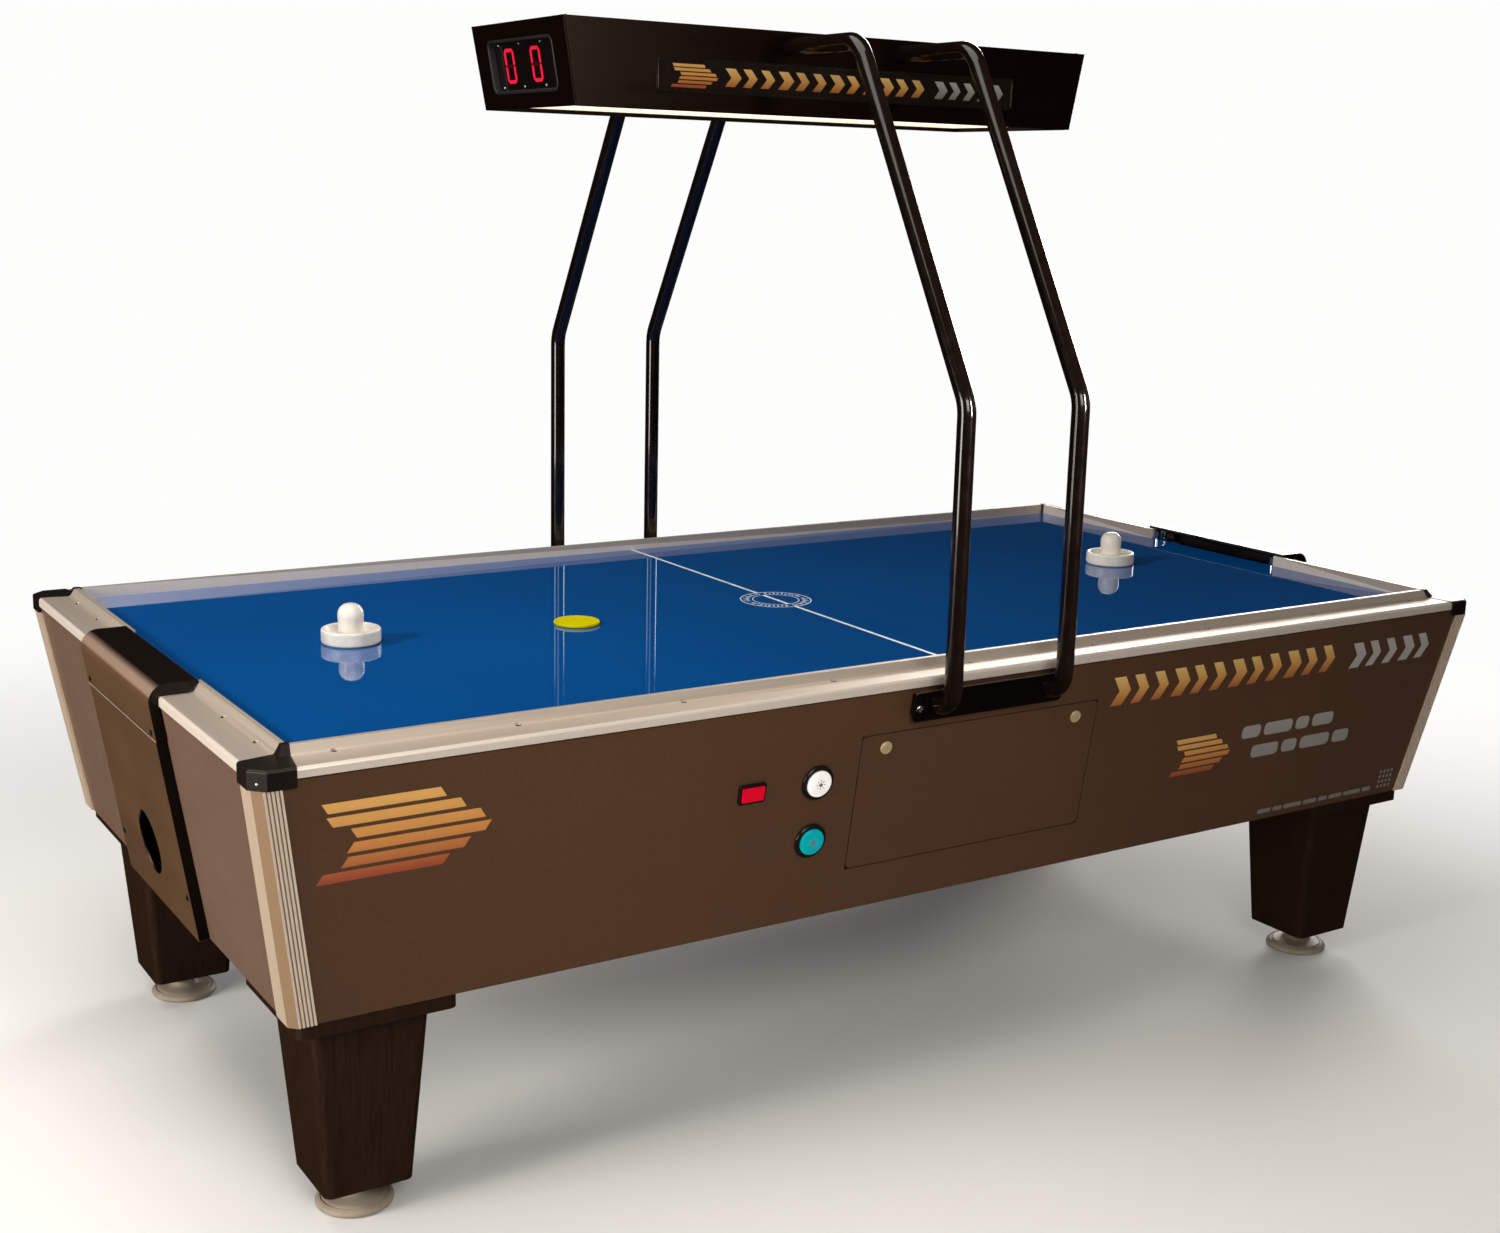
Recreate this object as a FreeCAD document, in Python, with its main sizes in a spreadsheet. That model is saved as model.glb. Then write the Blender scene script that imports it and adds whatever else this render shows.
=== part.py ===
import FreeCAD, Part
import math
import os
import re
import Sketcher
from FreeCAD import Placement, Rotation, Vector

# Air hockey table, millimetres. Origin on the floor under the centre of the table:
# +X along the length, +Y towards the rear long side, +Z up.
# Heights are above the floor. "In" means towards the middle of the table.

DIMENSIONS = {
    # overall
    "table_length": 2490.0, "table_width": 1292.0, "rail_height": 769.6, "play_height": 762.0,
    # cabinet
    "cabinet_bottom": 366.0, "slant_angle": 9.1, "panel_thick": 19.0, "panel_inset": 3.0,
    "floor_thick": 12.0, "board_thick": 19.0,
    # aluminium rail section
    "rail_lip": 15.6, "rail_seat": 22.0, "field_edge": 25.0, "rail_flat": 53.0, "rail_slope_end": 62.0,
    "rail_width": 70.9, "rail_ridge": 14.0, "rail_cove": 9.0, "rail_round": 6.0, "ridge_round": 3.0,
    # rail screws and their holes
    "screw_line": 50.0, "screw_pitch": 278.5, "screw_hole": 2.3, "screw_sink": 4.8, "sink_depth": 3.2,
    "end_screw_near": 360.0, "end_screw_far": 506.0,
    # corner pieces
    "cap_outer": 61.0, "cap_inner": 75.0, "cap_proud": 2.0, "cap_chamfer": 21.0, "cap_skirt": 28.0,
    "cap_wall": 2.7, "cap_round": 4.5, "corner_gap": 27.0, "trim_long_flat": 27.0, "trim_end_flat": 46.0,
    "trim_chamfer": 12.5, "trim_thick": 4.0, "groove_wide": 2.4, "groove_floor": 0.9, "groove_deep": 1.7,
    # goals
    "goal_half": 168.0, "rail_gap_half": 186.0, "post_radius": 8.0, "post_tall": 18.0, "cover_half": 205.0,
    "cover_rise": 19.0, "cover_sheet": 4.0,
    "cover_inner": 62.0, "cover_radius": 28.0, "box_half": 200.0, "box_depth": 17.6, "box_sheet": 3.0,
    "seam_height": 699.0, "puck_hole": 55.0, "puck_hole_height": 474.0, "notch_half": 160.0,
    "notch_bottom": 410.0, "chute_half": 157.0, "chute_depth": 77.0, "chute_sheet": 2.0,
    # legs and levelling feet
    "leg_x": 1046.0, "leg_y": 451.0, "leg_foot": 52.0, "leg_bottom_size": 141.0, "leg_top_size": 184.0,
    "leg_round": 14.0, "platform_size": 246.0, "platform_thick": 25.0, "foot_radius": 60.0,
    "stem_radius": 10.0, "stem_top": 102.0, "stem_room": 62.0,
    # overhead light arms
    "arm_x": 117.6, "arm_y": 703.0, "arm_radius": 15.0, "arm_wall": 2.0, "arm_foot_height": 727.0,
    "arm_knee_height": 1218.0, "arm_top_y": 381.0, "arm_top_height": 1777.0,
    # arm bracket
    "bracket_length": 314.0, "bracket_low": 701.0, "bracket_tall": 51.0, "bracket_standoff": 12.0,
    "bracket_plate": 6.0, "bracket_bolt_x": 141.0,
    # canopy
    "canopy_top": 1802.0, "canopy_low": 1662.0, "canopy_half_top": 553.0, "canopy_half_low": 528.0,
    "canopy_y_top": 178.0, "canopy_y_low": 174.0, "canopy_thick": 12.0, "sign_half": 380.0,
    "sign_low": 1692.0, "sign_tall": 56.0, "sign_thick": 2.0, "window_half": 120.0, "window_low": 1690.0,
    "window_tall": 82.0, "digit_x": 50.0, "lamp_y": 60.0, "lamp_radius": 13.0, "lamp_half": 450.0,
    # service door and buttons, measured down the slanted front face from the rail edge
    "door_x": 12.5, "door_down": 90.0, "door_wide": 509.0, "door_tall": 242.0, "door_gap": 2.0,
    "door_thick": 15.0, "lock_x": 204.0, "lock_down": 116.0, "lock_radius": 9.5,
    "start_x": -446.0, "start_down": 155.0, "start_wide": 50.0, "start_tall": 33.0,
    "light_x": -321.0, "white_down": 156.0, "black_down": 260.0, "bezel_radius": 30.0,
    "cap_radius": 22.6, "button_hole": 14.5,
    # power inlet, measured up the slanted rear face from its bottom edge
    "inlet_x": 700.0, "inlet_up": 60.0,
    # air supply
    "plenum_half_x": 1140.0, "plenum_half_y": 600.0, "plenum_base_top": 672.0, "blower_radius": 150.0,
    "blower_tall": 100.0, "impeller_radius": 100.0, "shaft_radius": 6.0, "motor_drop": 112.0,
    "motor_radius": 52.0, "motor_tall": 90.0, "motor_arm": 220.0, "motor_arm_wide": 24.0,
    # loose pieces
    "mallet_radius": 51.0, "mallet_tall": 68.0, "grip_radius": 22.6, "mallet_left_x": -851.0,
    "mallet_left_y": 31.0, "mallet_right_x": 866.0, "mallet_right_y": -3.0, "puck_x": -441.0, "puck_y": -16.0,
    "puck_radius": 41.5, "puck_thick": 6.35, "float_gap": 0.3,
}

doc = FreeCAD.newDocument("air_hockey_table")
sheet = doc.addObject("Spreadsheet::Sheet", "sizes")
for row, (alias, size) in enumerate(DIMENSIONS.items(), start=1):
    sheet.set(f"A{row}", alias)
    sheet.set(f"B{row}", str(size))
    sheet.setAlias(f"B{row}", alias)
doc.recompute()


def bound(text):
    """A formula in the sheet's words, as FreeCAD's expressions need it."""
    return re.sub(r"[a-z_]+", lambda word: f"sizes.{word[0]}" if word[0] in DIMENSIONS else word[0],
                  str(text))


def value(text):
    """The number that a formula in the sheet's words gives."""
    return float(sheet.evalExpression(bound(text)))


parts = {}


def keep(obj, label):
    """Name an object as a finished sub-part."""
    obj.Label = label
    parts[label] = obj
    return obj


# ---------------------------------------------------------------- small builders

def new_body(name):
    return doc.addObject("PartDesign::Body", name)


def sketch_on(body, role, lift=None):
    """An empty sketch on one of the body's own origin planes, lifted along its normal."""
    sketch = body.newObject("Sketcher::SketchObject", f"{body.Name}_sketch")
    plane = [item for item in body.Origin.OriginFeatures if item.Role == role][0]
    sketch.AttachmentSupport = [(plane, "")]
    sketch.MapMode = "FlatFace"
    if lift is not None:
        sketch.setExpression("AttachmentOffset.Base.z", bound(lift))
    return sketch


def add_polygon(sketch, corners):
    """A closed outline whose corner distances are bound to the sheet."""
    places = [(value(across), value(up)) for across, up in corners]
    first = sketch.GeometryCount
    count = len(corners)
    for index, (across, up) in enumerate(places):
        next_across, next_up = places[(index + 1) % count]
        sketch.addGeometry(Part.LineSegment(Vector(across, up, 0), Vector(next_across, next_up, 0)))
    for index in range(count):
        following = first + (index + 1) % count
        sketch.addConstraint(Sketcher.Constraint("Coincident", first + index, 2, following, 1))
    for index, (corner, place) in enumerate(zip(corners, places)):
        for kind, text, distance in zip(("DistanceX", "DistanceY"), corner, place):
            number = sketch.addConstraint(Sketcher.Constraint(kind, -1, 1, first + index, 1, distance))
            sketch.setExpression(f"Constraints[{number}]", bound(text))


def add_rectangle(sketch, across, up, wide, tall):
    """A rectangle given by its centre and its size."""
    left, right = f"{across} - ({wide}) / 2", f"{across} + ({wide}) / 2"
    low, high = f"{up} - ({tall}) / 2", f"{up} + ({tall}) / 2"
    add_polygon(sketch, [(left, low), (right, low), (right, high), (left, high)])


def add_circle(sketch, across, up, radius):
    """A circle whose centre and radius are bound to the sheet."""
    circle = Part.Circle(Vector(value(across), value(up), 0), Vector(0, 0, 1), value(radius))
    index = sketch.addGeometry(circle)
    rules = (("DistanceX", across), ("DistanceY", up))
    for kind, text in rules:
        number = sketch.addConstraint(Sketcher.Constraint(kind, -1, 1, index, 3, value(text)))
        sketch.setExpression(f"Constraints[{number}]", bound(text))
    number = sketch.addConstraint(Sketcher.Constraint("Radius", index, value(radius)))
    sketch.setExpression(f"Constraints[{number}]", bound(radius))


def pad(body, sketch, length, reverse=False, midplane=False):
    feature = body.newObject("PartDesign::Pad", f"{body.Name}_pad")
    feature.Profile = sketch
    feature.setExpression("Length", bound(length))
    feature.Reversed = reverse
    feature.Midplane = midplane
    sketch.Visibility = False
    doc.recompute()
    return feature


def pocket(body, sketch, length, reverse=False, midplane=False):
    """Cut a sketch away, and stop if the cut removed nothing."""
    before = body.Shape.Volume
    feature = body.newObject("PartDesign::Pocket", f"{body.Name}_pocket")
    feature.Profile = sketch
    feature.setExpression("Length", bound(length))
    feature.Reversed = reverse
    feature.Midplane = midplane
    doc.recompute()
    if body.Shape.Volume > before - 1e-3:
        raise RuntimeError(f"{body.Name}: a pocket cut nothing")
    return feature


def fillet(body, radius, chosen):
    """Round the edges of a body whose middle point and direction a test accepts."""
    base = body.Tip
    names = []
    for number, edge in enumerate(base.Shape.Edges, start=1):
        middle = edge.valueAt((edge.FirstParameter + edge.LastParameter) / 2)
        ends = edge.Vertexes[-1].Point - edge.Vertexes[0].Point
        if chosen(middle, ends):
            names.append(f"Edge{number}")
    feature = body.newObject("PartDesign::Fillet", f"{body.Name}_fillet")
    feature.Base = (base, names)
    feature.setExpression("Radius", bound(radius))
    doc.recompute()
    return feature


def revolved(label, outline, placement):
    """A turned piece: an outline of (radius, height) corners spun about the local Z axis."""
    body = new_body(label)
    sketch = sketch_on(body, "XZ_Plane")
    add_polygon(sketch, outline)
    feature = body.newObject("PartDesign::Revolution", f"{label}_revolution")
    feature.Profile = sketch
    feature.ReferenceAxis = (sketch, ["V_Axis"])
    feature.Angle = 360
    body.Placement = placement
    doc.recompute()
    return body


def block(name, size, low, placement=None):
    """A Part box with size and lowest corner bound to the sheet."""
    box = doc.addObject("Part::Box", name)
    for prop, text in zip(("Length", "Width", "Height"), size):
        box.setExpression(prop, bound(text))
    if placement is None:
        for axis, text in zip("xyz", low):
            box.setExpression(f"Placement.Base.{axis}", bound(text))
    else:
        shift = Placement(Vector(*[value(text) for text in low]), Rotation())
        box.Placement = placement.multiply(shift)
    return box


def rod(name, radius, length, base, turn=None):
    """A Part cylinder whose sizes and base point are bound to the sheet."""
    cylinder = doc.addObject("Part::Cylinder", name)
    cylinder.setExpression("Radius", bound(radius))
    cylinder.setExpression("Height", bound(length))
    if turn is not None:
        cylinder.Placement = Placement(Vector(), turn)
    for axis, text in zip("xyz", base):
        cylinder.setExpression(f"Placement.Base.{axis}", bound(text))
    return cylinder


def cut(name, base, tools):
    """Base minus every tool."""
    if len(tools) == 1:
        tool = tools[0]
    else:
        tool = doc.addObject("Part::MultiFuse", f"{name}_tools")
        tool.Shapes = tools
    result = doc.addObject("Part::Cut", name)
    result.Base = base
    result.Tool = tool
    doc.recompute()
    return result


def fuse(name, pieces):
    result = doc.addObject("Part::MultiFuse", name)
    result.Shapes = pieces
    doc.recompute()
    return result


def group(name, pieces):
    """Several separate solids that make one sub-part."""
    result = doc.addObject("Part::Compound", name)
    result.Links = pieces
    doc.recompute()
    return result


def solid(name, shape):
    """A shape made with Part's own functions, where no feature fits."""
    feature = doc.addObject("Part::Feature", name)
    feature.Shape = shape
    return feature


def prism(points, sweep):
    """A polygon of points carried along a vector."""
    return Part.Face(Part.makePolygon([Vector(*p) for p in points + points[:1]])).extrude(Vector(*sweep))


def mirrored(shape, across_x, across_y):
    """A copy of a front-left shape for another corner of the table."""
    copy = shape.copy()
    if across_x:
        copy = copy.mirror(Vector(0, 0, 0), Vector(1, 0, 0))
    if across_y:
        copy = copy.mirror(Vector(0, 0, 0), Vector(0, 1, 0))
    return copy


# ---------------------------------------------------------------- the slanted cabinet faces

SLANT = math.radians(value("slant_angle"))
PANEL_TOP = value("rail_height - rail_lip")
CABINET_BOTTOM = value("cabinet_bottom")
FACE_INSET = (PANEL_TOP - CABINET_BOTTOM) * math.tan(SLANT)
SIDES = {"front": 0, "right": 90, "rear": 180, "left": -90}
face_length = "((rail_height - rail_lip - cabinet_bottom) / cos(slant_angle * 1 deg))"
face_inset = "((rail_height - rail_lip - cabinet_bottom) * tan(slant_angle * 1 deg))"
panel_length = f"({face_length} - panel_thick * tan(slant_angle * 1 deg) - 0.3)"


def face_frame(side, across=0.0, up=0.0, out=0.0):
    """Placement on a cabinet face: local X along it, Y up the slant, Z outwards.

    The local origin is at the middle of the panel's bottom edge, on its outer face.
    """
    half = value("table_width" if side in ("front", "rear") else "table_length") / 2
    base = Vector(0, -(half - value("panel_inset") - FACE_INSET), CABINET_BOTTOM)
    tilt = Placement(base, Rotation(Vector(1, 0, 0), 90 + math.degrees(SLANT)))
    turn = Placement(Vector(), Rotation(Vector(0, 0, 1), SIDES[side]))
    return turn.multiply(tilt).multiply(Placement(Vector(across, up, out), Rotation()))


def face_up(height):
    """Distance up the slanted face at a height above the floor."""
    return (height - CABINET_BOTTOM) / math.cos(SLANT)


def up_from_top(down):
    """Formula for the distance up a face, from one measured down it from the rail edge."""
    return f"({face_length} + rail_lip / cos(slant_angle * 1 deg) - {down})"


def up_at(height):
    """Formula for the distance up a face at a height above the floor."""
    return f"(({height} - cabinet_bottom) / cos(slant_angle * 1 deg))"


def side_panel(label, side):
    """One wooden side of the cabinet, a trapezium that narrows downwards."""
    span = "table_width" if side in ("left", "right") else "table_length"
    top_half = f"({span} / 2 - panel_inset - corner_gap)"
    low_half = f"({top_half} - {face_inset})"
    body = new_body(label)
    sketch = sketch_on(body, "XY_Plane")
    if side in ("left", "right"):
        add_polygon(sketch, [
            (f"-{low_half}", "0"), (low_half, "0"), (top_half, panel_length),
            ("notch_half", panel_length), ("notch_half", up_at("notch_bottom")),
            ("-notch_half", up_at("notch_bottom")), ("-notch_half", panel_length),
            (f"-{top_half}", panel_length)])
    else:
        add_polygon(sketch, [
            (f"-{low_half}", "0"), (low_half, "0"),
            (top_half, panel_length), (f"-{top_half}", panel_length)])
    pad(body, sketch, "panel_thick", reverse=True)
    body.Placement = face_frame(side)
    return keep(body, label)


def round_corners(body, radius, low, high):
    """Round a plate's corners: the edges along local Z between two distances up the face."""
    fillet(body, radius, lambda middle, ends: abs(ends.z) > 1 and abs(ends.x) + abs(ends.y) < 0.01
           and low < middle.y < high)


front_panel = side_panel("front_panel", "front")
openings = sketch_on(front_panel, "XY_Plane")
door_up = up_from_top("(door_down + door_tall / 2)")
add_rectangle(openings, "door_x", door_up, "door_wide", "door_tall")
add_rectangle(openings, "start_x", up_from_top("start_down"), "start_wide - 12", "start_tall - 10")
for button_down in ("white_down", "black_down"):
    add_circle(openings, "light_x", up_from_top(button_down), "button_hole")
pocket(front_panel, openings, "panel_thick + 1")

rear_panel = side_panel("rear_panel", "rear")
inlet_hole = sketch_on(rear_panel, "XY_Plane")
add_rectangle(inlet_hole, "inlet_x", "inlet_up", "32", "25")
pocket(rear_panel, inlet_hole, "panel_thick + 1")

for end_side in ("left", "right"):
    side_panel(f"{end_side}_end_panel", end_side)

floor_inset = f"(panel_inset + {face_inset} + panel_thick + 4)"
cabinet_floor = block(
    "cabinet_floor",
    (f"table_length - 2 * {floor_inset}", f"table_width - 2 * {floor_inset}", "floor_thick"),
    (f"{floor_inset} - table_length / 2", f"{floor_inset} - table_width / 2", "cabinet_bottom"))
keep(cabinet_floor, "cabinet_floor")


# ---------------------------------------------------------------- aluminium rails and corner pieces

cap_flare = "((cap_inner - cap_outer) / cap_inner)"


def rail_body(name, half_length, screw_places, placement, corner_ends=(-1, 1)):
    """A rail of the aluminium section. Local X runs along it, -Y is the outer side, Z=0 its outer edge.

    An end that meets a corner cap is cut at the cap's flare.
    """
    body = new_body(name)
    section = sketch_on(body, "YZ_Plane")
    add_polygon(section, [
        ("0", "-rail_lip"), ("0", "0"), ("rail_flat", "0"), ("rail_slope_end", "rail_ridge"),
        ("rail_width", "rail_ridge"), ("rail_width", "play_height - rail_height"),
        ("rail_seat", "play_height - rail_height"), ("rail_seat", "-rail_lip")])
    pad(body, section, f"2 * ({half_length})", midplane=True)
    along = value(half_length)

    def at(across, up, near=0.6):
        return lambda middle, ends: (abs(ends.x) > along and abs(middle.y - across) < near
                                     and abs(middle.z - up) < near)
    fillet(body, "rail_cove", at(value("rail_flat"), 0))
    fillet(body, "rail_round", at(0, 0))
    fillet(body, "ridge_round", at(value("rail_slope_end"), value("rail_ridge")))
    for sign in corner_ends:
        corner = sketch_on(body, "XY_Plane", "rail_ridge + 1")
        add_polygon(corner, [
            (f"{sign} * ({half_length} + 1)", "-1"), (f"{sign} * ({half_length} + {cap_flare})", "-1"),
            (f"{sign} * ({half_length} - (rail_width + 1) * {cap_flare})", "rail_width + 1"),
            (f"{sign} * ({half_length} + 1)", "rail_width + 1")])
        pocket(body, corner, "rail_ridge + rail_lip + 2")
    for radius, depth in (("screw_sink", "sink_depth"), ("screw_hole", "rail_lip")):
        holes = sketch_on(body, "XY_Plane", "rail_ridge / 2")
        for place in screw_places:
            add_circle(holes, place, "screw_line", radius)
        pocket(body, holes, f"{depth} + rail_ridge / 2")
    body.Placement = placement
    return body


def rail_place(side, across=0.0):
    """Placement of a rail's middle on one side of the table."""
    half = value("table_width" if side in ("front", "rear") else "table_length") / 2
    turn = Placement(Vector(), Rotation(Vector(0, 0, 1), SIDES[side]))
    return turn.multiply(Placement(Vector(across, -half, value("rail_height")), Rotation()))


long_screws = [f"{step} * screw_pitch" for step in range(-4, 5)]
end_rail_half = "((table_width / 2 - cap_outer - rail_gap_half) / 2)"
end_rail_middle = f"(rail_gap_half + {end_rail_half})"
end_screws = [f"end_screw_far - {end_rail_middle}", f"end_screw_near - {end_rail_middle}"]
for side in ("front", "rear"):
    rail = rail_body(f"{side}_rail", "table_length / 2 - cap_outer - 0.2", long_screws, rail_place(side))
    keep(rail, f"{side}_rail")
for side in ("left", "right"):
    pair = []
    for sign in (-1, 1):
        places = [f"{sign} * ({text})" for text in end_screws]
        pair.append(rail_body(f"{side}_rail_{len(pair)}", f"{end_rail_half} - 0.2", places,
                              rail_place(side, sign * value(end_rail_middle)), (sign,)))
    keep(group(f"{side}_end_rails", pair), f"{side}_end_rails")


def screw_spots():
    """Middle of every rail screw head, at the rail's flat."""
    half_x, half_y = value("table_length") / 2, value("table_width") / 2
    line = value("screw_line")
    spots = [(value(text), sign * (half_y - line)) for text in long_screws for sign in (-1, 1)]
    for sign in (-1, 1):
        for text in ("-end_screw_far", "-end_screw_near", "end_screw_near", "end_screw_far"):
            spots.append((sign * (half_x - line), value(text)))
    return spots


def rail_screw(spot):
    """Round-headed screw, its head sunk in the rail's flat."""
    head = Part.makeCylinder(4.4, 3.0, Vector(0, 0, -3.1))
    shank = Part.makeCylinder(2.0, 20.0, Vector(0, 0, -23.1))
    screw = head.fuse(shank).removeSplitter()
    screw.translate(Vector(spot[0], spot[1], value("rail_height")))
    return screw


screws = Part.makeCompound([rail_screw(spot) for spot in screw_spots()])
keep(solid("rail_screws", screws), "rail_screws")


def cap_outline(low, chamfer, height):
    """Plan of a corner cap from low outwards: its outer corner cut off, its two ends flared."""
    inner = value("cap_inner")
    end = value("cap_outer") + low * value(cap_flare)
    return [(low + chamfer, low, height), (end, low, height), (inner, inner, height), (low, end, height),
            (low, low + chamfer, height)]


def corner_cap_shape():
    """Moulded cap over the corner where two rails meet, made for the front-left corner."""
    chamfer, far = value("cap_chamfer"), value("cap_inner") + 1
    flat, slope, ridge = value("rail_flat"), value("rail_slope_end"), value("rail_ridge")
    lip, proud = value("rail_lip") - 0.3, value("cap_proud")
    top_face = proud / 2
    section = [(-proud, -lip), (-proud, top_face), (flat, top_face), (slope, ridge + top_face),
               (far, ridge + top_face), (far, -lip)]
    along_y = prism([(u, -proud, v) for u, v in section], (0, far + proud, 0))
    along_x = prism([(-proud, u, v) for u, v in section], (far + proud, 0, 0))
    outline = prism(cap_outline(-proud, chamfer, -lip), (0, 0, lip + ridge + proud))
    top = along_x.common(along_y).common(outline)
    seat = value("rail_seat") - 0.5
    step = value("play_height - rail_height") + 0.3
    top = top.cut(Part.makeBox(far, far, far, Vector(seat, seat, step - far)))
    skirt = prism(cap_outline(-proud, chamfer, -value("cap_skirt")), (0, 0, value("cap_skirt") - lip))
    inside = value("cap_wall") - proud
    inside_chamfer = inside + chamfer - 1.6
    inner = prism([(inside_chamfer, inside, -far), (2 * far, inside, -far), (2 * far, 2 * far, -far),
                   (inside, 2 * far, -far), (inside, inside_chamfer, -far)], (0, 0, 2 * far))
    cap = top.fuse(skirt.cut(inner)).removeSplitter()
    rounds = [edge for edge in cap.Edges
              if min(vertex.Z for vertex in edge.Vertexes) > top_face - 0.01
              and max(edge.CenterOfMass.x, edge.CenterOfMass.y) < flat
              and min(edge.CenterOfMass.x, edge.CenterOfMass.y) < chamfer / 2]
    cap = cap.makeFillet(value("cap_round"), rounds)
    cap.translate(Vector(-value("table_length") / 2, -value("table_width") / 2, value("rail_height")))
    return cap


def corner_trim_shape():
    """Aluminium angle along a slanted cabinet corner, made for the front-left corner.

    Its leg on the long side has ridges with grooves between them. Its leg on the end is wider and plain.
    """
    thick, chamfer = value("trim_thick"), value("trim_chamfer")
    groove_wide, groove_floor = value("groove_wide"), value("groove_floor")
    groove_top = value("groove_deep - trim_thick")
    ridges = 5
    ridge_wide = (value("trim_long_flat") - (ridges - 1) * groove_wide) / ridges
    bevel = chamfer - thick
    long_end, short_end = bevel + value("trim_long_flat"), bevel + value("trim_end_flat")
    outline = [(long_end, -thick)]
    for number in range(ridges - 1):
        edge = long_end - (number + 1) * ridge_wide - number * groove_wide
        slope = (groove_wide - groove_floor) / 2
        outline += [(edge, -thick), (edge - slope, groove_top),
                    (edge - slope - groove_floor, groove_top), (edge - groove_wide, -thick)]
    outline += [(bevel, -thick), (-thick, bevel), (-thick, short_end), (0, short_end), (0, bevel),
                (bevel, 0), (long_end, 0)]
    low = CABINET_BOTTOM
    rise = value("rail_height - cap_skirt") - 0.3 - low
    shift = value("panel_inset") + FACE_INSET
    lean = math.tan(SLANT) * rise
    trim = prism([(x + shift, y + shift, low) for x, y in outline], (-lean, -lean, rise))
    trim.translate(Vector(-value("table_length") / 2, -value("table_width") / 2, 0))
    return trim


CORNERS = [(0, 0), (1, 0), (0, 1), (1, 1)]
for label, shape in (("corner_caps", corner_cap_shape()), ("corner_trims", corner_trim_shape())):
    keep(solid(label, Part.makeCompound([mirrored(shape, *corner) for corner in CORNERS])), label)


# ---------------------------------------------------------------- playfield and air supply

playfield = new_body("playfield")
field = sketch_on(playfield, "XY_Plane", "play_height")
field_x, field_y = "(table_length / 2 - field_edge)", "(table_width / 2 - field_edge)"
notch_x = "(table_length / 2 - rail_width + 2)"
add_polygon(field, [
    (f"-{field_x}", f"-{field_y}"), (field_x, f"-{field_y}"), (field_x, "-goal_half"),
    (notch_x, "-goal_half"), (notch_x, "goal_half"), (field_x, "goal_half"), (field_x, field_y),
    (f"-{field_x}", field_y), (f"-{field_x}", "goal_half"), (f"-{notch_x}", "goal_half"),
    (f"-{notch_x}", "-goal_half"), (f"-{field_x}", "-goal_half")])
pad(playfield, field, "board_thick", reverse=True)
screw_holes = sketch_on(playfield, "XY_Plane", "play_height")
for spot_x, spot_y in screw_spots():
    add_circle(screw_holes, str(spot_x), str(spot_y), "screw_hole")
pocket(playfield, screw_holes, "board_thick + 1")
keep(playfield, "playfield")

plenum_base = new_body("plenum_base")
base_sketch = sketch_on(plenum_base, "XY_Plane", "plenum_base_top")
add_rectangle(base_sketch, "0", "0", "2 * plenum_half_x", "2 * plenum_half_y")
add_circle(base_sketch, "0", "0", "impeller_radius + 20")
pad(plenum_base, base_sketch, "floor_thick", reverse=True)
keep(plenum_base, "plenum_base")

plenum_tall = "(play_height - board_thick - plenum_base_top)"
ring = block("plenum_outer", ("2 * plenum_half_x", "2 * plenum_half_y", plenum_tall),
             ("-plenum_half_x", "-plenum_half_y", "plenum_base_top"))
cell_wide = "((2 * plenum_half_x - 5 * panel_thick) / 4)"
cells = []
for number in range(4):
    low_x = f"-plenum_half_x + panel_thick + {number} * ({cell_wide} + panel_thick)"
    cells.append(block(f"plenum_cell_{number}",
                       (cell_wide, "2 * plenum_half_y - 2 * panel_thick", plenum_tall),
                       (low_x, "panel_thick - plenum_half_y", "plenum_base_top")))
keep(cut("plenum_frame", ring, cells), "plenum_frame")

blower_top = "(plenum_base_top - floor_thick)"
drum = rod("blower_drum", "blower_radius", "blower_tall", ("0", "0", f"{blower_top} - blower_tall"))
drum_flange = rod("blower_flange", "blower_radius + 18", "5", ("0", "0", f"{blower_top} - 5"))
drum_room = rod("blower_room", "blower_radius - 4", "blower_tall - 4",
                ("0", "0", f"{blower_top} - blower_tall + 4"))
drum_inlet = rod("blower_inlet", "70", "20", ("0", "0", f"{blower_top} - blower_tall - 10"))
housing = cut("blower_housing", fuse("blower_shell", [drum, drum_flange]), [drum_room, drum_inlet])
keep(housing, "blower_housing")


def impeller_shape():
    """Squirrel-cage fan wheel on its shaft, about the vertical axis through the table's middle."""
    top = value(blower_top)
    wheel_low, wheel_high, radius, blades = top - 85, top - 20, value("impeller_radius"), 24
    shape = Part.makeCylinder(radius, 3, Vector(0, 0, wheel_high - 3))
    rim = Part.makeCylinder(radius, 3, Vector(0, 0, wheel_low)).cut(
        Part.makeCylinder(radius - 22, 3, Vector(0, 0, wheel_low)))
    shape = shape.fuse(rim)
    blade = Part.makeBox(20, 1.6, wheel_high - wheel_low - 1, Vector(radius - 21, -0.8, wheel_low + 0.5))
    blade.rotate(Vector(radius - 11, 0, 0), Vector(0, 0, 1), 30)
    for number in range(blades):
        turned = blade.copy()
        turned.rotate(Vector(), Vector(0, 0, 1), 360 * number / blades)
        shape = shape.fuse(turned)
    hub = Part.makeCylinder(18, 30, Vector(0, 0, wheel_high - 30))
    shaft = Part.makeCylinder(value("shaft_radius"), 100, Vector(0, 0, wheel_high - 130))
    return shape.fuse(hub).fuse(shaft).removeSplitter()


keep(solid("blower_impeller", impeller_shape()), "blower_impeller")

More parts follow.
